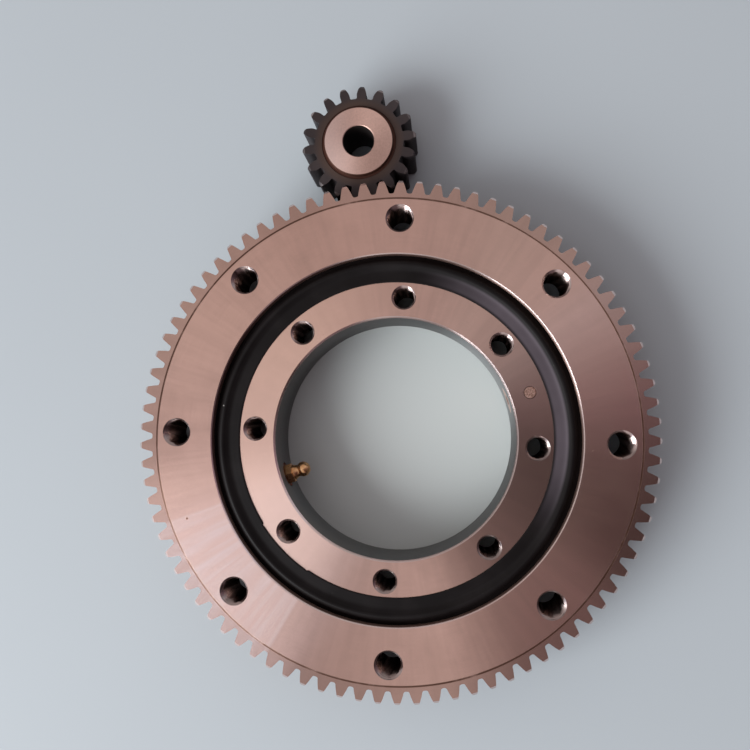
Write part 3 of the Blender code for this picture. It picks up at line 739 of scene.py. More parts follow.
class Shading(Nodes):
    """A shader tree under construction."""

    def __init__(self, owner):
        owner.use_nodes = True
        super().__init__(owner.node_tree)
        self.tree.nodes.clear()

    def value(self, node, output=0):
        return Value(self, node.outputs[output])

    def maths(self, operation, *values, clamp=False):
        made = self.node(
            "ShaderNodeMath", {"operation": operation, "use_clamp": clamp}, dict(enumerate(values))
        )
        return self.value(made)

    def ramp(self, value, low, high):
        """0 below low, 1 above high, and smooth between them."""
        made = self.node(
            "ShaderNodeMapRange", {"interpolation_type": "SMOOTHSTEP"},
            {"Value": value, "From Min": low, "From Max": high},
        )
        return self.value(made)

    def band(self, value, low, high, edge):
        """1 between low and high, fading to 0 over the edge."""
        return self.ramp(value, low - edge, low) * (1 - self.ramp(value, high, high + edge))

    def along_stops(self, value, stops):
        """The colour that these (position, colour) stops give at the value."""
        made = self.node("ShaderNodeValToRGB", {}, {0: value})
        ramp = made.color_ramp.elements
        for position, _ in stops[2:]:
            ramp.new(position)
        for element, (position, shade) in zip(ramp, sorted(stops)):
            element.position, element.color = position, (*shade, 1.0)
        return self.value(made)

    def mix(self, factor, first, second):
        """From the first colour to the second as the factor goes from 0 to 1."""
        sockets = {0: factor, 6: first, 7: second}
        for key in (6, 7):
            if not isinstance(sockets[key], Value):
                sockets[key] = (*sockets[key], 1.0)
        made = self.node("ShaderNodeMix", {"data_type": "RGBA", "clamp_factor": True}, sockets)
        return self.value(made, 2)


class Finish(Shading):
    """A material under construction round one Principled shader."""

    def __init__(self, name, axis=RING_AXIS, **constants):
        self.material = bpy.data.materials.new(name)
        super().__init__(self.material)
        constants = {key.replace("_", " "): value for key, value in constants.items()}
        self.shader = self.node("ShaderNodeBsdfPrincipled", {}, constants)
        self.node("ShaderNodeOutputMaterial", {}, {"Surface": self.value(self.shader)})
        place = self.node("ShaderNodeTexCoord")
        centred = self.node(
            "ShaderNodeMapping", {}, {"Vector": self.value(place, "Object"), "Location": -axis}
        )
        parts = self.node("ShaderNodeSeparateXYZ", {}, {0: self.value(centred)})
        self.place = self.value(centred)
        self.x, self.y, self.z = (self.value(parts, k) for k in range(3))
        facing = self.node("ShaderNodeSeparateXYZ", {}, {0: self.value(place, "Normal")})
        self.east, self.north, self.up = (self.value(facing, k) for k in range(3))
        self.radius = (self.x * self.x + self.y * self.y) ** 0.5
        self.angle = self.maths("ARCTAN2", self.y, self.x)

    def noise(self, vector, scale, detail=3.0, roughness=0.55):
        made = self.node(
            "ShaderNodeTexNoise", {},
            {"Vector": vector, "Scale": scale, "Detail": detail, "Roughness": roughness},
        )
        return self.value(made)

    def specks(self, scale, size, seed):
        """Small round dots, scattered with a fixed seed."""
        shift = (seed, seed, seed)
        shifted = self.node("ShaderNodeVectorMath", {"operation": "ADD"}, {0: self.place, 1: shift})
        cells = self.node("ShaderNodeTexVoronoi", {}, {"Vector": self.value(shifted), "Scale": scale})
        chance = self.node("ShaderNodeSeparateColor", {}, {0: self.value(cells, "Color")})
        wanted = self.ramp(self.value(chance), 0.82, 0.84)
        return (1 - self.ramp(self.value(cells, "Distance"), size * 0.6, size)) * wanted

    def most(self, *values):
        """The highest of these values."""
        highest, *others = values
        for value in others:
            highest = self.maths("MAXIMUM", highest, value)
        return highest

    def vector(self, x, y, z):
        return self.value(self.node("ShaderNodeCombineXYZ", {}, {0: x, 1: y, 2: z}))

    def dot(self, angle, radius, size):
        """One small round mark at a place on the ring."""
        x, y = self.x - radius * cos(angle), self.y - radius * sin(angle)
        return 1 - self.ramp((x * x + y * y) ** 0.5, size * 0.5, size)

    def feed(self, **links):
        for key, value in links.items():
            self.tree.links.new(value.socket, self.shader.inputs[key.replace("_", " ")])
        return self.material

    def bump(self, height, strength, distance):
        return self.value(self.node(
            "ShaderNodeBump", {}, {"Height": height, "Strength": strength, "Distance": distance}
        ))

    def lathe_lines(self, pitch, streak):
        """Fine lines that run round the axis, on faces and on walls."""
        across = self.radius + self.z
        return self.noise(self.vector(across / pitch, self.angle * streak, 0.0), 1.0, 2.0)


def in_tapped_holes(context, finish):
    """1 inside every tapped hole of both rings."""
    holes = context.scene.bearing_holes
    step = TURN / holes.holes
    outer, inner = first_holes(context)
    mask = 0.0
    for reach, rim, first in (
        (holes.outer_circle, holes.outer_rim, outer), (holes.inner_circle, holes.inner_rim, inner)
    ):
        local = finish.maths("WRAP", finish.angle - first, step / 2, -step / 2)
        x = finish.radius * finish.maths("COSINE", local) - reach
        y = finish.radius * finish.maths("SINE", local)
        mask = (1 - finish.ramp((x * x + y * y) ** 0.5, rim - 0.02 * MM, rim + 0.03 * MM)) + mask
    return mask


def towards(finish, bearing, low, high):
    """1 on the side of the ring that lies at this bearing, fading between these cosines."""
    return finish.ramp(finish.maths("COSINE", finish.angle - bearing), low, high)


def ring_steel(context):
    """Ground steel, turning lines, soft stains; painted highlight on chamfers and a fan, painted light
    and shade on opposite sides, painted shade in tapped holes.
    """
    scene = context.scene
    colours, marks, rings = scene.bearing_finish, scene.bearing_marks, scene.bearing_rings
    finish = Finish("ground_ring_steel", Metallic=1.0, Anisotropic=0.97, Anisotropic_Rotation=0.25)
    lines = finish.lathe_lines(0.11 * MM, 4.0)
    coarse = finish.lathe_lines(0.6 * MM, 1.5)
    clouds = finish.noise(finish.place, 26.0, 3.0)
    blotches = finish.noise(finish.place, 140.0, 4.0)
    tone = finish.ramp(clouds * 0.7 + blotches * 0.3, 0.38, 0.68)
    colour_now = finish.mix(tone * 0.75, colours.steel, colours.steel_shade)
    colour_now = finish.mix(lines * 0.22, colour_now, colours.oiled_and_shade)

    walls = 1 - finish.ramp(finish.up, 0.1, 0.6)
    chamfers = finish.band(finish.up, 0.5, 0.85, 0.04)
    toothed = finish.ramp(finish.radius, rings.tooth_step, rings.tooth_step + 0.3 * MM)
    colour_now = finish.mix(toothed * 0.28, colour_now, colours.oiled_and_shade)
    colour_now = finish.mix(walls * 0.55, colour_now, colours.oiled_and_shade)
    past_bore = finish.ramp(finish.radius, rings.bore + 0.3 * MM, rings.bore + 0.6 * MM)
    colour_now = finish.mix(walls * (1 - past_bore), colour_now, colours.bore)

    inside = 1 - finish.ramp(finish.radius, rings.inner_shoulder, rings.outer_shoulder)
    # Painted reflection: a bright fan of streaks on the outer ring stands for the window's reflection in
    # the turned face, and the streaks darken the steel a little all round.
    reflection_fan = finish.band(finish.angle, marks.reflection_fan_start, marks.reflection_fan_end, radians(1.2)) * (1 - inside)
    reflection_streaks = finish.vector(finish.angle * 16.0, finish.radius / (90 * MM), 0.0)
    reflection_streaks = finish.ramp(finish.noise(reflection_streaks, 1.0, 3.0, 0.65), 0.35, 0.7)
    colour_now = finish.mix(reflection_fan * finish.up * (0.06 + reflection_streaks * 0.28), colour_now, colours.highlight_steel)
    colour_now = finish.mix(reflection_streaks * 0.10, colour_now, colours.oiled_and_shade)
    # Painted light on the inner ring's lit side.
    pale = inside * towards(finish, marks.lit_side, -0.1, 0.8) * finish.up
    colour_now = finish.mix(pale * 0.55, colour_now, colours.lit_side_steel)
    # Painted shade on the rings' shaded side, mostly on the inner ring.
    painted_side_shade = towards(finish, marks.shaded_side, 0.25, 0.95) * finish.up * (0.12 + 0.54 * inside)
    colour_now = finish.mix(painted_side_shade, colour_now, colours.oiled_and_shade)
    # Painted highlight on the chamfers.
    colour_now = finish.mix(chamfers * 0.6, colour_now, colours.highlight_steel)

    step, step_end = rings.tooth_step - 0.1 * MM, rings.tooth_step + 0.45 * MM
    step_dirt = finish.band(finish.radius, step, step_end, 0.3 * MM) * finish.ramp(blotches, 0.15, 0.5)
    specks = finish.specks(90.0, 0.035, 3.1) * finish.ramp(clouds, 0.5, 0.6)
    stains = finish.ramp(finish.noise(finish.place, 320.0, 5.0, 0.7), 0.68, 0.76)
    nick = finish.dot(marks.nick_angle, marks.nick_radius, 0.75 * MM)
    dirt = finish.most(step_dirt * 0.8, specks * 0.6, nick * 0.85, stains * 0.35)
    colour_now = finish.mix(dirt, colour_now, colours.rust)

    # Painted shade inside the tapped holes, deeper down; the walls that face the window stay bright.
    depth = 1 - finish.ramp(finish.z, INNER_TOP - 11 * MM, INNER_TOP - 4 * MM)
    lit = finish.ramp(finish.east * -0.75 - finish.north * 0.66, 0.1, 0.75) * (1 - depth)
    unlit = in_tapped_holes(context, finish) * (1 - lit) * (1 - chamfers * 0.45)
    colour_now = finish.mix(unlit * 0.94, colour_now, colours.hole_shade)

    roughness = 0.135 + lines * 0.05 + tone * 0.03 + walls * 0.22 + dirt * 0.35
    relief = finish.bump(lines + coarse * 0.5, 0.10, 0.01 * MM)
    return finish.feed(Base_Color=colour_now, Roughness=roughness, Normal=relief)


def plug_steel(context):
    colours = context.scene.bearing_finish
    finish = Finish("ground_plug_steel", Metallic=1.0)
    lines = finish.lathe_lines(0.12 * MM, 4.0)
    colour_now = finish.mix(lines * 0.4, colours.steel, colours.oiled_and_shade)
    return finish.feed(
        Base_Color=colour_now, Roughness=0.28 + lines * 0.15, Normal=finish.bump(lines, 0.1, 0.01 * MM)
    )


def pin_steel(context):
    """A cut-off pin end: coarse turning marks, oil and a little rust."""
    colours = context.scene.bearing_finish
    finish = Finish("cut_pin_steel", Metallic=1.0)
    marks = finish.noise(finish.place, 1900.0, 4.0, 0.7)
    colour_now = finish.mix(finish.ramp(marks, 0.35, 0.7), colours.steel_shade, colours.rust)
    return finish.feed(
        Base_Color=colour_now, Roughness=0.35 + marks * 0.3, Normal=finish.bump(marks, 0.5, 0.05 * MM)
    )


def seal_rubber(context):
    """Black moulded rubber with a painted sheen on one side for reflected light, fine dust and one pale
    mark.
    """
    scene = context.scene
    colours, marks, seal = scene.bearing_finish, scene.bearing_marks, scene.bearing_seals
    finish = Finish("nitrile_rubber", Specular_IOR_Level=0.11)
    clouds = finish.noise(finish.place, 60.0, 3.0)
    grain = finish.noise(finish.place, 2600.0, 2.0)
    flow = finish.lathe_lines(0.5 * MM, 2.0)
    # Painted sheen: a paler stretch on one side of the seal's slope stands for reflected light.
    painted_sheen = finish.band(finish.angle, marks.painted_sheen_start, marks.painted_sheen_end, radians(34))
    painted_sheen = painted_sheen * finish.ramp(finish.radius, seal.lip, seal.lip + 1.5 * MM)
    painted_sheen = painted_sheen * (1 - finish.ramp(finish.radius, seal.ridge - 2.45 * MM, seal.ridge - 1.05 * MM))
    painted_sheen = painted_sheen * (0.7 + clouds * 0.5)
    bloom = finish.ramp(clouds + flow * 0.3, 0.5, 0.9) * 0.5
    colour_now = finish.mix(bloom, colours.rubber, colours.rubber_bloom)
    colour_now = finish.mix(painted_sheen, colour_now, colours.painted_sheen)
    dust = finish.specks(420.0, 0.05, 7.7) * 0.25
    mark = finish.dot(marks.mark_angle, marks.mark_radius, 0.4 * MM)
    colour_now = finish.mix(finish.most(dust, mark * 0.8), colour_now, colours.dust)
    return finish.feed(
        Base_Color=colour_now, Roughness=0.38 + clouds * 0.10 + grain * 0.08,
        Normal=finish.bump(grain + flow, 0.08, 0.02 * MM),
    )


def pinion_steel(context):
    """Blackened teeth with worn edges, a ground hub face with painted light on its left and painted shade
    on its right, a rusty groove and painted shade in the bore.
    """
    colours, sizes = context.scene.bearing_finish, context.scene.bearing_pinion
    teeth = pinion_gear(context)
    finish = Finish("black_oxide_steel", PINION_AXIS, Anisotropic=0.35, Anisotropic_Rotation=0.25)
    clouds = finish.noise(finish.place, 110.0, 4.0)
    grain = finish.noise(finish.place, 1500.0, 3.0, 0.6)
    lines = finish.lathe_lines(0.14 * MM, 3.0)
    bloom = finish.ramp(clouds, 0.35, 0.7) * 0.7
    colour_now = finish.mix(bloom, colours.black_oxide, colours.oxide_bloom)
    top_face = finish.ramp(finish.z, sizes.face - 0.1 * MM, sizes.face - 0.02 * MM)
    colour_now = finish.mix(top_face * (0.25 + grain * 0.6), colour_now, colours.oxide_face)
    brown = top_face * (1 - finish.ramp(finish.radius, sizes.groove + 0.3 * MM, teeth.root + 1.2 * MM))
    colour_now = finish.mix(brown * (0.35 + clouds * 0.6), colour_now, colours.oxide_brown)
    tips = finish.ramp(finish.radius, teeth.tip - 1.3 * MM, teeth.tip - 0.8 * MM)
    worn = tips * finish.ramp(finish.z, sizes.face - 1.3 * MM, sizes.face - 0.4 * MM)
    worn = worn * finish.ramp(clouds + grain * 0.4, 0.55, 0.85)
    colour_now = finish.mix(worn * 0.8, colour_now, colours.oxide_worn)
    rust = finish.band(finish.radius, sizes.hub - 0.1 * MM, sizes.groove - 0.3 * MM, 0.35 * MM)
    rust = rust * finish.ramp(finish.z, 10 * MM, sizes.face - 2 * MM)
    colour_now = finish.mix(rust * (0.6 + clouds * 0.5), colour_now, colours.groove_rust)
    hub = finish.ramp(finish.z, PINION_TOP - 0.6 * MM, PINION_TOP - 0.25 * MM)
    hub = hub * (1 - finish.ramp(finish.radius, sizes.hub - 0.42 * MM, sizes.hub - 0.3 * MM))
    hub = hub * finish.ramp(finish.radius, sizes.bore + 0.02 * MM, sizes.bore + 0.15 * MM)
    mottle = finish.ramp(grain * 0.6 + clouds * 0.4, 0.35, 0.7)
    ground = finish.mix(mottle, colours.steel, colours.steel_shade)
    ground = finish.mix(lines * 0.2, ground, colours.oiled_and_shade)
    # Painted light on the left of the hub face and painted shade on its right.
    ground = finish.mix((1 - finish.ramp(finish.x, -15 * MM, 3 * MM)) * 0.3, ground, colours.highlight_steel)
    painted_side_shade = finish.ramp(finish.x - finish.y * 0.6, -2 * MM, 14 * MM) * 0.2
    ground = finish.mix(painted_side_shade, ground, colours.oiled_and_shade)
    colour_now = finish.mix(hub, colour_now, ground)
    # Painted shade in the bore.
    bore = 1 - finish.ramp(finish.radius, sizes.bore, sizes.bore + 0.1 * MM)
    colour_now = finish.mix(bore * 0.8, colour_now, colours.hole_shade)
    return finish.feed(
        Base_Color=colour_now, Metallic=0.6 + hub * 0.4, Roughness=0.46 - hub * 0.06 + grain * 0.14,
        Normal=finish.bump(grain + lines * 0.4, 0.16, 0.03 * MM),
    )


def nipple_brass(context):
    """Turned brass with tool marks and darker seams."""
    colours = context.scene.bearing_finish
    finish = Finish("turned_brass", Metallic=1.0)
    clouds = finish.noise(finish.place, 420.0, 3.0)
    marks = finish.noise(finish.place, 3800.0, 2.0)
    colour_now = finish.mix(finish.ramp(clouds, 0.4, 0.72) * 0.6, colours.brass, colours.brass_shade)
    return finish.feed(
        Base_Color=colour_now, Roughness=0.20 + clouds * 0.16, Normal=finish.bump(marks, 0.12, 0.02 * MM)
    )


def cage_nylon(context):
    colours = context.scene.bearing_finish
    finish = Finish("moulded_nylon", Subsurface_Weight=0.1, Subsurface_Scale=0.002)
    grain = finish.noise(finish.place, 900.0, 3.0)
    colour_now = finish.mix(grain * 0.4, colours.nylon, colours.nylon_shade)
    return finish.feed(
        Base_Color=colour_now, Roughness=0.42 + grain * 0.15, Normal=finish.bump(grain, 0.15, 0.03 * MM)
    )


def ball_steel(context):
    colours = context.scene.bearing_finish
    finish = Finish("polished_ball_steel", Metallic=1.0)
    haze = finish.noise(finish.place, 500.0, 3.0)
    colour_now = finish.mix(haze * 0.3, colours.ball_steel, colours.ball_haze)
    return finish.feed(Base_Color=colour_now, Roughness=0.07 + haze * 0.08)


# Pieces -------------------------------------------------------------------------------------------


def place_piece(name, mesh, finish, slot, body, *nodes):
    """A finished piece that stands for these plain nodes and moves with their body."""
    mesh.materials.clear()
    mesh.materials.append(finish)
    obj = scratch_object(name, mesh)
    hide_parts(*nodes)
    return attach(obj, body)


def raceway(rolling, land, side):
    """The pointed arch the balls run in, upwards, as (radius, height)."""
    curve = rolling.raceway_radius
    start, end = asin(rolling.raceway_arch / curve), acos(abs(land - rolling.ball_circle) / curve)
    upper = []
    for k in range(RACEWAY_STEPS + 1):
        angle = start + (end - start) * k / RACEWAY_STEPS
        reach = side * curve * cos(angle)
        upper.append((rolling.ball_circle + reach, curve * sin(angle) - rolling.raceway_arch))
    lower = [(radius, -rise) for radius, rise in upper[:0:-1]]
    return [(radius, BALL_HEIGHT + rise) for radius, rise in lower + upper]


def thread_loops(bottom, top, pitch, sides, rows_per_turn, radius_at):
    """Loops about +Z at the origin, close enough together to follow a thread."""
    rows = ceil((top - bottom) / pitch * rows_per_turn)
    loops = []
    for row in range(rows + 1):
        height = bottom + (top - bottom) * row / rows
        spread = [(TURN * k / sides, radius_at(height, k / sides)) for k in range(sides)]
        loops.append([(radius * cos(angle), radius * sin(angle), height) for angle, radius in spread])
    return loops


def tapped_hole(name, holes, ring, bottom, top):
    """The wall of one of a ring's tapped holes, countersunk at both ends, with its axis on +X."""
    core, root, rim, pitch, reach = (
        getattr(holes, f"{ring}_{size}") for size in ("core", "root", "rim", "pitch", "circle")
    )

    def radius_at(height, share_of_turn):
        countersink = rim - min(top - height, height - bottom)
        return max(countersink, thread_radius(core, root, (height - bottom) / pitch - share_of_turn))

    surface = Surface()
    loops = thread_loops(bottom, top, pitch, HOLE_SIDES, HOLE_ROWS_PER_TURN, radius_at)
    surface.strips([[(reach + x, y, z) for x, y, z in loop] for loop in loops])
    return surface.patch(name)


def hole_rims(count_of_holes, circle_radius, rim, first):
    """The loops that the holes leave in a flat face."""
    rims = []
    for hole in range(count_of_holes):
        angle = first + TURN * hole / count_of_holes
        centre = RING_AXIS + Vector((circle_radius * cos(angle), circle_radius * sin(angle), 0))
        rims.append(circle(rim, 0, HOLE_SIDES, angle, centre))
    return rims


class BEARING_OT_outer_ring(bpy.types.Operator):
    """Make the outer ring with its teeth, raceway, seal slots and tapped holes"""

    bl_idname = "bearing.outer_ring"
    bl_label = "Outer Gear Ring"

    def execute(self, context):
        scene = context.scene
        rings, holes, rolling = scene.bearing_rings, scene.bearing_holes, scene.bearing_rolling
        finish = ring_steel(context)
        gear = ring_gear(context)
        segments = gear.teeth * SEGMENTS_PER_RING_TOOTH
        start = TOWARDS_PINION - gear.half_pitch
        low, high = OUTER_BOTTOM + rings.step_depth, OUTER_TOP - rings.step_depth
        sector = gear.sector("ring_tooth", rings.tooth_step, SEGMENTS_PER_RING_TOOTH, low, high)
        wall = tapped_hole("outer_tapped_hole", holes, "outer", OUTER_BOTTOM, OUTER_TOP)
        first = first_holes(context)[0]
        surface = Surface()
        surface.add(copied_round(sector, gear.teeth, RING_AXIS, TOWARDS_PINION, finish))
        surface.add(copied_round(wall, holes.holes, RING_AXIS, first, finish))

        shoulder, rim = rings.outer_shoulder, rings.outer_shoulder + rings.edge_chamfer

        def seal_slot(floor):
            roof = floor + rings.slot_width
            depth = rings.slot_radius
            return [(shoulder, floor), (depth, floor), (depth, roof), (shoulder, roof)]

        inside = [
            (rim, OUTER_BOTTOM), (shoulder, OUTER_BOTTOM + rings.edge_chamfer),
            *seal_slot(rings.lower_slot),
            (shoulder, rings.land_bottom), (rings.outer_land, rings.land_bottom),
            *raceway(rolling, rings.outer_land, 1),
            (rings.outer_land, rings.land_top), (shoulder, rings.land_top),
            *seal_slot(rings.upper_slot),
            (shoulder, OUTER_TOP - rings.edge_chamfer), (rim, OUTER_TOP),
        ]
        surface.strips(turned(eased(inside, rings.edge_break), segments, start))
        edge, step = rings.edge_break, rings.tooth_step
        for face, level, sign in ((OUTER_BOTTOM, low, 1), (OUTER_TOP, high, -1)):
            step_edge = [(step - edge, face), (step, face + sign * edge), (step, level)]
            surface.strips(turned(step_edge, segments, start))
            loops = [circle(radius, face, segments, start) for radius in (step - edge, rim)]
            loops += hole_rims(holes.holes, holes.outer_circle, holes.outer_rim, first)
            surface.flat(loops, face)
        place_piece(
            "geared_outer_ring", surface.solid("geared_outer_ring"), finish, "ring_steel", "outer_ring",
            "outer_gear_ring",
        )
        return {"FINISHED"}


def inner_profile(rings, rolling):
    """The inner ring's outside, upwards from its lower face, as (radius, height)."""
    return [
        (rings.inner_shoulder - rings.edge_chamfer, INNER_BOTTOM),
        (rings.inner_shoulder, INNER_BOTTOM + rings.edge_chamfer),
        (rings.inner_shoulder, rings.land_bottom), (rings.inner_land, rings.land_bottom),
        *raceway(rolling, rings.inner_land, -1),
        (rings.inner_land, rings.land_top), (rings.inner_shoulder, rings.land_top),
        (rings.inner_shoulder, INNER_TOP - rings.lip_chamfer),
        (rings.inner_shoulder - rings.lip_chamfer, INNER_TOP),
    ]


def bore_profile(rings):
    return [
        (rings.bore + rings.bore_chamfer, INNER_BOTTOM), (rings.bore, INNER_BOTTOM + rings.bore_chamfer),
        (rings.bore, INNER_TOP - rings.bore_chamfer), (rings.bore + rings.bore_chamfer, INNER_TOP),
    ]


def round_tool(levels, place, sides=TOOL_SIDES):
    tool = Surface()
    tool.lathe(levels, sides, place)
    return tool.solid("round_tool")


def pin_place(context):
    """A frame on the taper pin's axis, upright."""
    return (Matrix.Translation(RING_AXIS) @ Matrix.Rotation(plug_angle(context), 4, "Z")
            @ Matrix.Translation((context.scene.bearing_holes.inner_circle, 0, 0)))


def pin_hole(context):
    plug = context.scene.bearing_plug
    radius = plug.pin_radius + PIN_FIT
    return round_tool([(plug.pin_bottom - GAP, radius), (INNER_TOP + MM, radius)], pin_place(context))


def loading_hole(context, radius):
    """A tool along the loading hole, out past both sides of the ring."""
    rings = context.scene.bearing_rings
    ends = (rings.bore - 2 * MM, rings.inner_land + 2 * MM)
    return round_tool([(end, radius) for end in ends], along_radius(plug_angle(context), BALL_HEIGHT))


class BEARING_OT_inner_ring(bpy.types.Operator):
    """Make the inner ring with its raceway, tapped holes, nipple seat and loading hole"""

    bl_idname = "bearing.inner_ring"
    bl_label = "Inner Ring"

    def execute(self, context):
        scene = context.scene
        rings, holes, rolling = scene.bearing_rings, scene.bearing_holes, scene.bearing_rolling
        plug, nipple = scene.bearing_plug, scene.bearing_nipple
        finish = ring_steel(context)
        wall = tapped_hole("inner_tapped_hole", holes, "inner", INNER_BOTTOM, INNER_TOP)
        first = first_holes(context)[1]
        surface = Surface()
        surface.add(copied_round(wall, holes.holes, RING_AXIS, first, finish))
        surface.strips(turned(eased(inner_profile(rings, rolling), rings.edge_break), RING_SEGMENTS))
        surface.strips(turned(eased(bore_profile(rings), rings.edge_break), RING_SEGMENTS))
        for face, rim in ((INNER_BOTTOM, rings.edge_chamfer), (INNER_TOP, rings.lip_chamfer)):
            loops = [
                circle(rings.inner_shoulder - rim, face, RING_SEGMENTS),
                circle(rings.bore + rings.bore_chamfer, face, RING_SEGMENTS),
            ]
            loops += hole_rims(holes.holes, holes.inner_circle, holes.inner_rim, first)
            surface.flat(loops, face)

        thread_end = nipple.spot_face + nipple.thread_length
        thread, passage = nipple.thread_radius + 0.1 * MM, 1.5 * MM
        nipple_seat = [
            (rings.bore - 2 * MM, nipple.spot_radius), (nipple.spot_face, nipple.spot_radius),
            (nipple.spot_face, thread), (thread_end, thread),
            (thread_end + MM, passage), (rings.inner_land - MM, passage),
        ]
        cuts = [
            loading_hole(context, plug.radius + PLUG_FIT),
            pin_hole(context),
            round_tool(nipple_seat, along_radius(plug_angle(context) + pi, BALL_HEIGHT)),
        ]
        blank = surface.solid("bored_inner_ring")
        mesh = carved("bored_inner_ring", blank, [("DIFFERENCE", tool) for tool in cuts])
        place_piece("bored_inner_ring", mesh, finish, "ring_steel", "inner_ring", "inner_ring")
        return {"FINISHED"}


class BEARING_OT_loading_plug(bpy.types.Operator):
    """Make the plug that closes the loading hole, and the taper pin that holds it"""

    bl_idname = "bearing.loading_plug"
    bl_label = "Loading Plug and Pin"

    def execute(self, context):
        scene = context.scene
        rings, rolling, plug = scene.bearing_rings, scene.bearing_rolling, scene.bearing_plug
        blank = Surface()
        profile = inner_profile(rings, rolling) + bore_profile(rings)[::-1]
        blank.strips(turned(profile + profile[:1], RING_SEGMENTS))
        extractor = round_tool(
            [(rings.bore - 2 * MM, plug.extractor), (plug.extractor_end, plug.extractor)],
            along_radius(plug_angle(context), BALL_HEIGHT), PIN_SIDES,
        )
        cuts = [
            ("INTERSECT", blank.solid("ring_blank")), ("DIFFERENCE", pin_hole(context)),
            ("DIFFERENCE", extractor),
        ]
        mesh = carved("fitted_loading_plug", loading_hole(context, plug.radius), cuts)
        place_piece(
            "fitted_loading_plug", mesh, plug_steel(context), "plug_steel", "inner_ring", "loading_plug"
        )

        top = INNER_TOP - GAP
        levels = [
            (plug.pin_bottom, plug.pin_radius - plug.pin_taper - 0.3 * MM),
            (plug.pin_bottom + 0.3 * MM, plug.pin_radius - plug.pin_taper),
            (top - 0.35 * MM, plug.pin_radius), (top - 0.12 * MM, plug.pin_radius - 0.08 * MM),
            (top - 0.02 * MM, plug.pin_radius - 0.3 * MM), (top - 0.12 * MM, plug.pin_radius - 1.0 * MM),
            (top - 0.06 * MM, plug.pin_radius - 1.7 * MM), (top - 0.1 * MM, 0.35 * MM),
        ]
        pin = Surface()
        pin.lathe(levels, PIN_SIDES, pin_place(context))
        mesh = pin.solid("driven_taper_pin", SOFT_CREASE)
        place_piece(
            "driven_taper_pin", mesh, pin_steel(context), "pin_steel", "inner_ring", "plug_taper_pin"
        )
        return {"FINISHED"}


def ball_mesh(name, centre, radius):
    bm = bmesh.new()
    bmesh.ops.create_icosphere(
        bm, subdivisions=BALL_SUBDIVISIONS, radius=radius, matrix=Matrix.Translation(centre)
    )
    mesh = bpy.data.meshes.new(name)
    bm.to_mesh(mesh)
    bm.free()
    mesh.shade_smooth()
    return mesh


class BEARING_OT_balls(bpy.types.Operator):
    """Make the balls, each a piece of its own, and the cage with a window for each of them"""

    bl_idname = "bearing.balls"
    bl_label = "Balls and Cage"

    def execute(self, context):
        rolling = context.scene.bearing_rolling
        finish = ball_steel(context)
        for node in BALL_NODES:
            low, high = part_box(node)
            mesh = ball_mesh(f"polished_{node}", (low + high) / 2, rolling.ball_radius)
            place_piece(f"polished_{node}", mesh, finish, "ball_steel", node, node)

        nylon = cage_nylon(context)
        surface = Surface()
        surface.add(copied_round(self.window_patch(rolling), len(BALL_NODES), RING_AXIS, 0.0, nylon))
        mesh = surface.solid("windowed_cage", SOFT_CREASE)
        place_piece("windowed_cage", mesh, nylon, "cage_nylon", "cage", "ball_cage")
        return {"FINISHED"}

    def window_patch(self, rolling):
        """One window's stretch of the cage: its two skins, its rims and the window's wall."""
        half_angle = pi / len(BALL_NODES)
        half_width = half_angle * rolling.ball_circle
        half_height = rolling.cage_height / 2
        window = rolling.ball_radius + GAP
        digits, least = 9, 1e-9

        def border(angle):
            x, y = abs(cos(angle)), abs(sin(angle))
            return min(half_width / max(x, least), half_height / max(y, least))

        def halfway(angle):
            return (border(angle) + window) / 2

        def rim(_):
            return window

        corner = asin(half_height / (half_height**2 + half_width**2) ** 0.5)
        corners = {round(a % TURN, digits) for a in (corner, pi - corner, pi + corner, -corner)}
        angles = sorted({round(TURN * k / WINDOW_SIDES, digits) for k in range(WINDOW_SIDES)} | corners)

        def loop(radius_at, depth):
            points = []
            for angle in angles:
                reach = radius_at(angle)
                across, rise = reach * cos(angle) / rolling.ball_circle, reach * sin(angle)
                points.append((depth * cos(across), depth * sin(across), BALL_HEIGHT + rise))
            return points

        near = rolling.ball_circle - rolling.cage_thickness / 2
        far = rolling.ball_circle + rolling.cage_thickness / 2
        rows = [loop(line, near) for line in (border, halfway, rim)]
        rows += [loop(line, far) for line in (rim, halfway, border)]
        surface = Surface()
        surface.strips(rows)
        for level in (BALL_HEIGHT - half_height, BALL_HEIGHT + half_height):
            first, last = ([p for p in row if abs(p[2] - level) < WELD] for row in (rows[0], rows[-1]))
            surface.strips([first, last], closed=False)
        return surface.patch("cage_window")


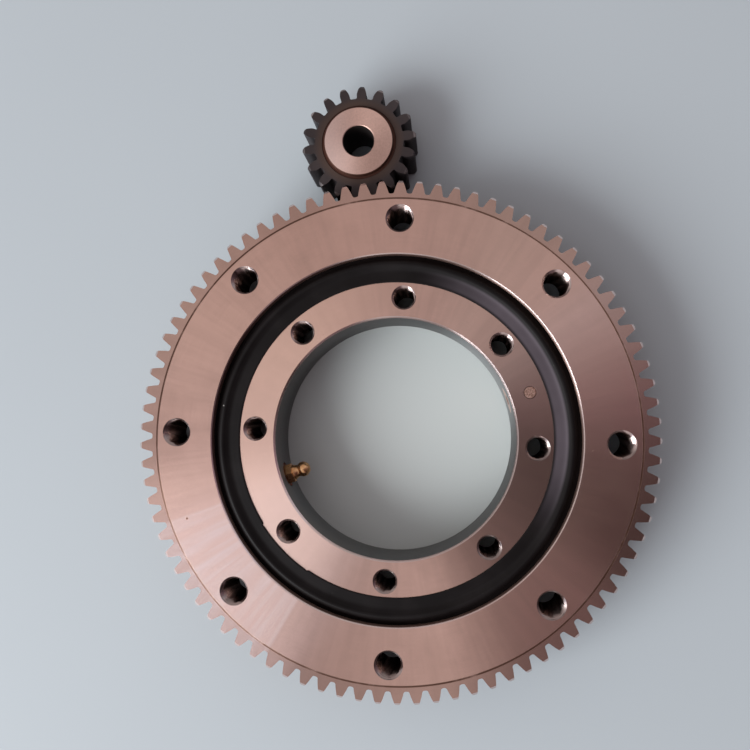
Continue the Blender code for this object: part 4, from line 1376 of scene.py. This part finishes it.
class BEARING_OT_seals(bpy.types.Operator):
    """Make the upper seal with its spliced lip, and the lower seal"""

    bl_idname = "bearing.seals"
    bl_label = "Seals"

    def execute(self, context):
        scene = context.scene
        rings, seal = scene.bearing_rings, scene.bearing_seals
        rubber = seal_rubber(context)
        wall, tongue = rings.outer_shoulder - SEAL_FIT, rings.slot_radius - SEAL_FIT

        def slot(bottom):
            return bottom + SEAL_FIT, bottom + rings.slot_width - SEAL_FIT

        floor, roof = slot(rings.upper_slot)
        upper = Surface()
        loops = self.spliced(self.upper_profile(rings, seal, wall, tongue, floor, roof), seal)
        upper.strips(loops + loops[:1])

        floor, roof = slot(rings.lower_slot)
        lip, middle = rings.inner_shoulder + GAP, scene.bearing_rolling.ball_circle
        profile = [
            (wall, roof), (tongue, roof), (tongue, floor), (wall, floor),
            (wall - 1.6 * MM, OUTER_BOTTOM + 0.8 * MM), (seal.ridge + 0.25 * MM, OUTER_BOTTOM + 0.5 * MM),
            (lip, OUTER_BOTTOM + 1.0 * MM), (lip, OUTER_BOTTOM + 2.2 * MM),
            (middle, OUTER_BOTTOM + 3.0 * MM), (wall, roof),
        ]
        lower = Surface()
        lower.strips(turned(eased(profile, 0.35 * MM, 4), RING_SEGMENTS))
        for surface, side in ((upper, "upper"), (lower, "lower")):
            name = f"moulded_{side}_seal"
            mesh = surface.solid(name, SOFT_CREASE)
            place_piece(name, mesh, rubber, "seal_rubber", "outer_ring", f"{side}_seal")
        return {"FINISHED"}

    def upper_profile(self, rings, seal, wall, tongue, floor, roof):
        """The upper seal's section: lip, web, ridge and dip on top, then its tongue and underside."""
        lip_bottom = INNER_TOP + 0.12 * MM
        over_the_gap = [(1.4, 0.35), (3.6, 0.25)]
        over_the_ridge = [
            (-1.45, 1.15), (-0.45, 0.66), (0.45, 0.62), (1.45, 1.3), (2.25, 2.6), (3.05, 3.6)
        ]
        outside = [(seal.lip, lip_bottom + 0.12 * MM), (seal.lip + 0.25 * MM, lip_bottom + 0.48 * MM)]
        outside += [(rings.inner_shoulder + x * MM, lip_bottom + rise * MM) for x, rise in over_the_gap]
        outside += [(seal.ridge + x * MM, OUTER_TOP - drop * MM) for x, drop in over_the_ridge]
        rest = [
            (wall, roof), (tongue, roof), (tongue, floor), (wall - 2.0 * MM, floor),
            (seal.ridge - 0.85 * MM, OUTER_TOP - 3.6 * MM),
            (rings.inner_shoulder + 1.0 * MM, INNER_TOP - 1.4 * MM),
            (rings.inner_shoulder + GAP, lip_bottom), (seal.lip + 0.2 * MM, lip_bottom), outside[0],
        ]
        return flowing([*outside, (wall, roof + 0.4 * MM)], 6) + eased(rest, 0.1 * MM, 3)

    def spliced(self, profile, seal):
        """The section's loops, set back at the lip along the splice and nicked at both its ends."""
        middle = (seal.splice_start + seal.splice_end) / 2
        half = (seal.splice_end - seal.splice_start) / 2
        blend, nick_width, soft_width = radians(0.5), radians(0.9), 2.2 * MM
        set_back = []
        for k in range(SEAL_SEGMENTS):
            from_end = half - abs(TURN * k / SEAL_SEGMENTS - middle)
            stepped = min(1.0, max(0.0, from_end / blend + 0.5))
            nick = max(0.0, 1 - abs(from_end) / nick_width)
            set_back.append(seal.splice_shift * stepped + seal.notch * nick)
        loops = []
        for radius, height in profile:
            reach = max(0.0, 1 - (radius - seal.lip) / soft_width)
            loop = []
            for k, shift in enumerate(set_back):
                angle, out = TURN * k / SEAL_SEGMENTS, radius + reach * shift
                loop.append((RING_AXIS.x + out * cos(angle), RING_AXIS.y + out * sin(angle), height))
            loops.append(loop)
        return loops


class BEARING_OT_nipple(bpy.types.Operator):
    """Make the grease nipple, its check ball and its spring"""

    bl_idname = "bearing.nipple"
    bl_label = "Grease Nipple"

    def execute(self, context):
        sizes = context.scene.bearing_nipple
        angle = plug_angle(context) + pi
        seat = sizes.spot_face - 0.05 * MM
        place = (Matrix.Translation((*RING_AXIS.xy, BALL_HEIGHT)) @ Matrix.Rotation(angle, 4, "Z")
                 @ Matrix.Translation((seat, 0, 0)) @ Matrix.Rotation(-pi / 2, 4, "Y"))
        loops = self.shank(sizes) + [
            circle(radius, height, NIPPLE_SIDES, centre=Vector((0, 0, 0)))
            for height, radius in flowing(self.stem(sizes), 4)
        ]
        body = Surface()
        body.capped([[place @ Vector(point) for point in loop] for loop in loops])
        corner, flats = sizes.hex_radius + 0.05 * MM, sizes.hex_radius * cos(pi / 6)
        hexagon = round_tool([(0, sizes.hex_radius), (sizes.hex_height, sizes.hex_radius)], place, 6)
        chamfers = [
            (-0.5 * MM, sizes.hex_radius - 0.9 * MM), (0.3 * MM, corner),
            (sizes.hex_height - 0.42 * MM, corner), (sizes.hex_height + 0.2 * MM, flats - 0.35 * MM),
        ]
        nut = carved("nipple_nut", hexagon, [("INTERSECT", round_tool(chamfers, place, NIPPLE_SIDES))])
        feed_radius, mouth_end = 1.2 * MM, 10.9 * MM
        channel = [
            (-sizes.thread_length, feed_radius), (sizes.chamber_start, feed_radius),
            (sizes.chamber_start, sizes.chamber), (sizes.valve_seat, sizes.chamber),
            (sizes.valve_seat + 0.9 * MM, sizes.mouth), (mouth_end, sizes.mouth),
            (mouth_end + 0.5 * MM, sizes.mouth + 0.5 * MM),
        ]
        mesh = carved(
            "brass_grease_nipple", body.solid("nipple_body"),
            [("UNION", nut), ("DIFFERENCE", round_tool(channel, place, CHANNEL_SIDES))], NIPPLE_CREASE,
        )
        brass = nipple_brass(context)
        place_piece("brass_grease_nipple", mesh, brass, "nipple_brass", "inner_ring", "grease_nipple")

        low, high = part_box("nipple_ball")
        centre, radius = (low + high) / 2, (high.z - low.z) / 2
        mesh, steel = ball_mesh("nipple_check_ball", centre, radius), ball_steel(context)
        place_piece("nipple_check_ball", mesh, steel, "ball_steel", "nipple_ball", "nipple_ball")
        self.make_spring(sizes, place, centre, radius, steel)
        return {"FINISHED"}

    def shank(self, sizes):
        """Loops of the threaded shank, with its first thread cut back."""
        start, pitch = 0.35 * MM - sizes.thread_length, 1.0 * MM
        core = sizes.thread_radius - 0.45 * MM

        def radius_at(height, share_of_turn):
            thread = thread_radius(core, sizes.thread_radius, height / pitch - share_of_turn)
            return min(thread, core + height - start)

        return thread_loops(start, 0.3 * MM, pitch, NIPPLE_SIDES, NIPPLE_ROWS_PER_TURN, radius_at)

    def stem(self, sizes):
        """Collar, waist and head above the hexagon, as (height, radius)."""
        collar = [
            (sizes.hex_height - 0.3 * MM, 3.3 * MM), (sizes.hex_height + 0.35 * MM, 3.3 * MM),
            (sizes.hex_height + 0.8 * MM, 3.1 * MM),
        ]
        waist = [(5.5, 2.75), (6.1, 2.6), (6.6, 2.65), (7.1, 2.95)]
        head = [(7.6, 3.2), (8.3, 3.25), (9.1, 3.2), (9.7, 2.95), (10.3, 2.5), (10.8, 2.0), (11.15, 1.6)]
        return collar + [(height * MM, radius * MM) for height, radius in waist + head]

    def make_spring(self, sizes, place, ball, ball_radius, steel):
        """The check ball's spring, wound from the chamber's step up to the ball."""
        ball_height = (place.inverted() @ ball).z
        wire = 0.16 * MM
        bottom = sizes.chamber_start + wire + 0.05 * MM
        top = ball_height - ball_radius - wire
        values = {
            "Turns": 5.0, "Radius": 1.05 * MM, "Height": top - bottom, "Wire": wire, "Finish": steel,
        }
        mesh = grown("wound_nipple_spring", spring_tree(), values)
        mesh.transform(place @ Matrix.Translation((0, 0, bottom)))
        spring = place_piece(
            "wound_nipple_spring", mesh, steel, "spring_steel", "inner_ring", "nipple_spring"
        )
        travel = max(JOINTS["nipple_ball_press"]["range_m"])
        1 - travel / (top - bottom + 2 * wire)
        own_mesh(spring)


class BEARING_OT_pinion(bpy.types.Operator):
    """Make the pinion with its teeth, hub, groove and bore"""

    bl_idname = "bearing.pinion"
    bl_label = "Pinion"

    def execute(self, context):
        sizes = context.scene.bearing_pinion
        finish = pinion_steel(context)
        gear = pinion_gear(context)
        segments = gear.teeth * SEGMENTS_PER_PINION_TOOTH
        first_tooth = gear.half_pitch - pi / 2
        start = first_tooth - gear.half_pitch
        sector = gear.sector(
            "pinion_tooth", sizes.groove, SEGMENTS_PER_PINION_TOOTH, PINION_BOTTOM, sizes.face, 6
        )
        surface = Surface()
        surface.add(copied_round(sector, gear.teeth, PINION_AXIS, first_tooth, finish))
        chamfer = sizes.chamfer
        top = [
            (sizes.groove, sizes.face), (sizes.groove - 0.25 * MM, sizes.face - sizes.groove_depth),
            (sizes.hub, sizes.face - sizes.groove_depth), (sizes.hub, PINION_TOP - chamfer),
            (sizes.hub - chamfer, PINION_TOP),
        ]
        bore = [
            (sizes.bore + chamfer, PINION_TOP), (sizes.bore, PINION_TOP - chamfer),
            (sizes.bore, PINION_BOTTOM + chamfer), (sizes.bore + chamfer, PINION_BOTTOM),
        ]
        for profile in (top, bore):
            surface.strips(turned(eased(profile, 0.1 * MM), segments, start, PINION_AXIS))
        for height, radius in ((PINION_TOP, sizes.hub - chamfer), (PINION_BOTTOM, sizes.groove)):
            loops = [
                circle(radius, height, segments, start, PINION_AXIS),
                circle(sizes.bore + chamfer, height, segments, start, PINION_AXIS),
            ]
            surface.flat(loops, height)
        mesh = surface.solid("black_pinion")
        place_piece("black_pinion", mesh, finish, "black_steel", "pinion", "pinion")
        return {"FINISHED"}


class BEARING_OT_stage(bpy.types.Operator):
    """Lay the floor and set the lights and the camera"""

    bl_idname = "bearing.stage"
    bl_label = "Stage"

    def execute(self, context):
        stage = context.scene.bearing_stage
        self.lay_floor(stage)
        self.set_window(context, stage)
        self.set_sky(context, stage)
        self.set_camera(context, stage)
        context.scene.view_settings.view_transform = "Standard"
        return {"FINISHED"}

    def lay_floor(self, stage):
        bm = bmesh.new()
        bmesh.ops.create_grid(bm, x_segments=8, y_segments=8, size=FLOOR_HALF_WIDTH)
        mesh = bpy.data.meshes.new("floor")
        bm.to_mesh(mesh)
        bm.free()
        floor = scratch_object("floor", mesh)
        finish = Finish("pale_floor", Specular_IOR_Level=0.25)
        clouds = finish.noise(finish.place, 5.0, 2.0)
        shade = tuple(0.93 * part for part in stage.floor)
        colour_now = finish.mix(clouds * 0.6, stage.floor, shade)
        # Painted light: the floor is painted lighter inside the ring and darker outwards.
        painted_floor_light = 1 - finish.ramp(finish.radius, 60 * MM, 100 * MM)
        colour_now = finish.mix(painted_floor_light, colour_now, stage.painted_light_floor)
        mesh.materials.append(finish.feed(Base_Color=colour_now, Roughness=0.55 + clouds * 0.1))

    def set_window(self, context, stage):
        """The large soft light on the left."""
        light = bpy.data.lights.new("window", "AREA")
        light.shape = "RECTANGLE"
        light.size, light.size_y = WINDOW_SIZE
        light.energy = stage.window_power
        light.color = stage.window_colour
        obj = bpy.data.objects.new("window", light)
        obj.location = WINDOW_PLACE
        obj.rotation_euler = (RING_AXIS - WINDOW_PLACE).to_track_quat("-Z", "Y").to_euler()
        context.collection.objects.link(obj)

    def set_sky(self, context, stage):
        """Room light that changes with the compass, from a bright side to a dark side."""
        world = bpy.data.worlds.new("studio")
        sky = Shading(world)
        place = sky.node("ShaderNodeTexCoord")
        parts = sky.node("ShaderNodeSeparateXYZ", {}, {0: sky.value(place, "Generated")})
        compass = sky.maths("ARCTAN2", sky.value(parts, 1), sky.value(parts)) / TURN
        stops = [(degrees / 360, shade) for degrees, shade in SKY]
        shade = sky.along_stops(sky.maths("FRACT", compass + 1.0), stops)
        background = sky.node("ShaderNodeBackground", {}, {0: shade, 1: stage.sky})
        sky.node("ShaderNodeOutputWorld", {}, {0: sky.value(background)})
        context.scene.world = world

    def set_camera(self, context, stage):
        camera = bpy.data.cameras.new("camera")
        camera.lens = stage.lens
        camera.sensor_width = SENSOR_WIDTH
        camera.clip_start = 10 * MM
        obj = bpy.data.objects.new("camera", camera)
        obj.location = CAMERA_PLACE
        obj.rotation_euler = Euler([radians(angle) for angle in CAMERA_TILT])
        context.collection.objects.link(obj)
        context.scene.camera = obj


class BEARING_PT_panel(bpy.types.Panel):
    """The pieces of the bearing, and their sizes and colours"""

    bl_idname = "BEARING_PT_panel"
    bl_label = "Slewing Ring Bearing"
    bl_space_type = "VIEW_3D"
    bl_region_type = "UI"
    bl_category = "Bearing"

    def draw(self, context):
        for operator in OPERATORS:
            self.layout.operator(operator.bl_idname)
        for name, group in SETTINGS.items():
            box = self.layout.box()
            box.label(text=group.bl_rna.name)
            for prop in group.__annotations__:
                box.prop(getattr(context.scene, name), prop)


SETTINGS = {
    "bearing_teeth": ToothSettings,
    "bearing_rings": RingSettings,
    "bearing_rolling": RollingSettings,
    "bearing_holes": HoleSettings,
    "bearing_plug": PlugSettings,
    "bearing_seals": SealSettings,
    "bearing_nipple": NippleSettings,
    "bearing_pinion": PinionSettings,
    "bearing_finish": FinishSettings,
    "bearing_marks": MarkAndLightSettings,
    "bearing_stage": StageSettings,
}
OPERATORS = (
    BEARING_OT_outer_ring, BEARING_OT_inner_ring, BEARING_OT_loading_plug, BEARING_OT_balls,
    BEARING_OT_seals, BEARING_OT_nipple, BEARING_OT_pinion, BEARING_OT_stage,
)
CLASSES = (*SETTINGS.values(), *OPERATORS, BEARING_PT_panel)


def register():
    for cls in CLASSES:
        bpy.utils.register_class(cls)
    for name, group in SETTINGS.items():
        setattr(bpy.types.Scene, name, PointerProperty(type=group))


def unregister():
    for name in SETTINGS:
        delattr(bpy.types.Scene, name)
    for cls in reversed(CLASSES):
        bpy.utils.unregister_class(cls)


def clear_startup():
    """Removes what a new scene starts with."""
    for name in ("Cube", "Light", "Camera"):
        obj = bpy.data.objects.get(name)
        if obj:
            bpy.data.objects.remove(obj, do_unlink=True)


def main():
    register()
    clear_startup()
    for operator in OPERATORS:
        group, name = operator.bl_idname.split(".")
        getattr(getattr(bpy.ops, group), name)()


if __name__ == "__main__":
    main()
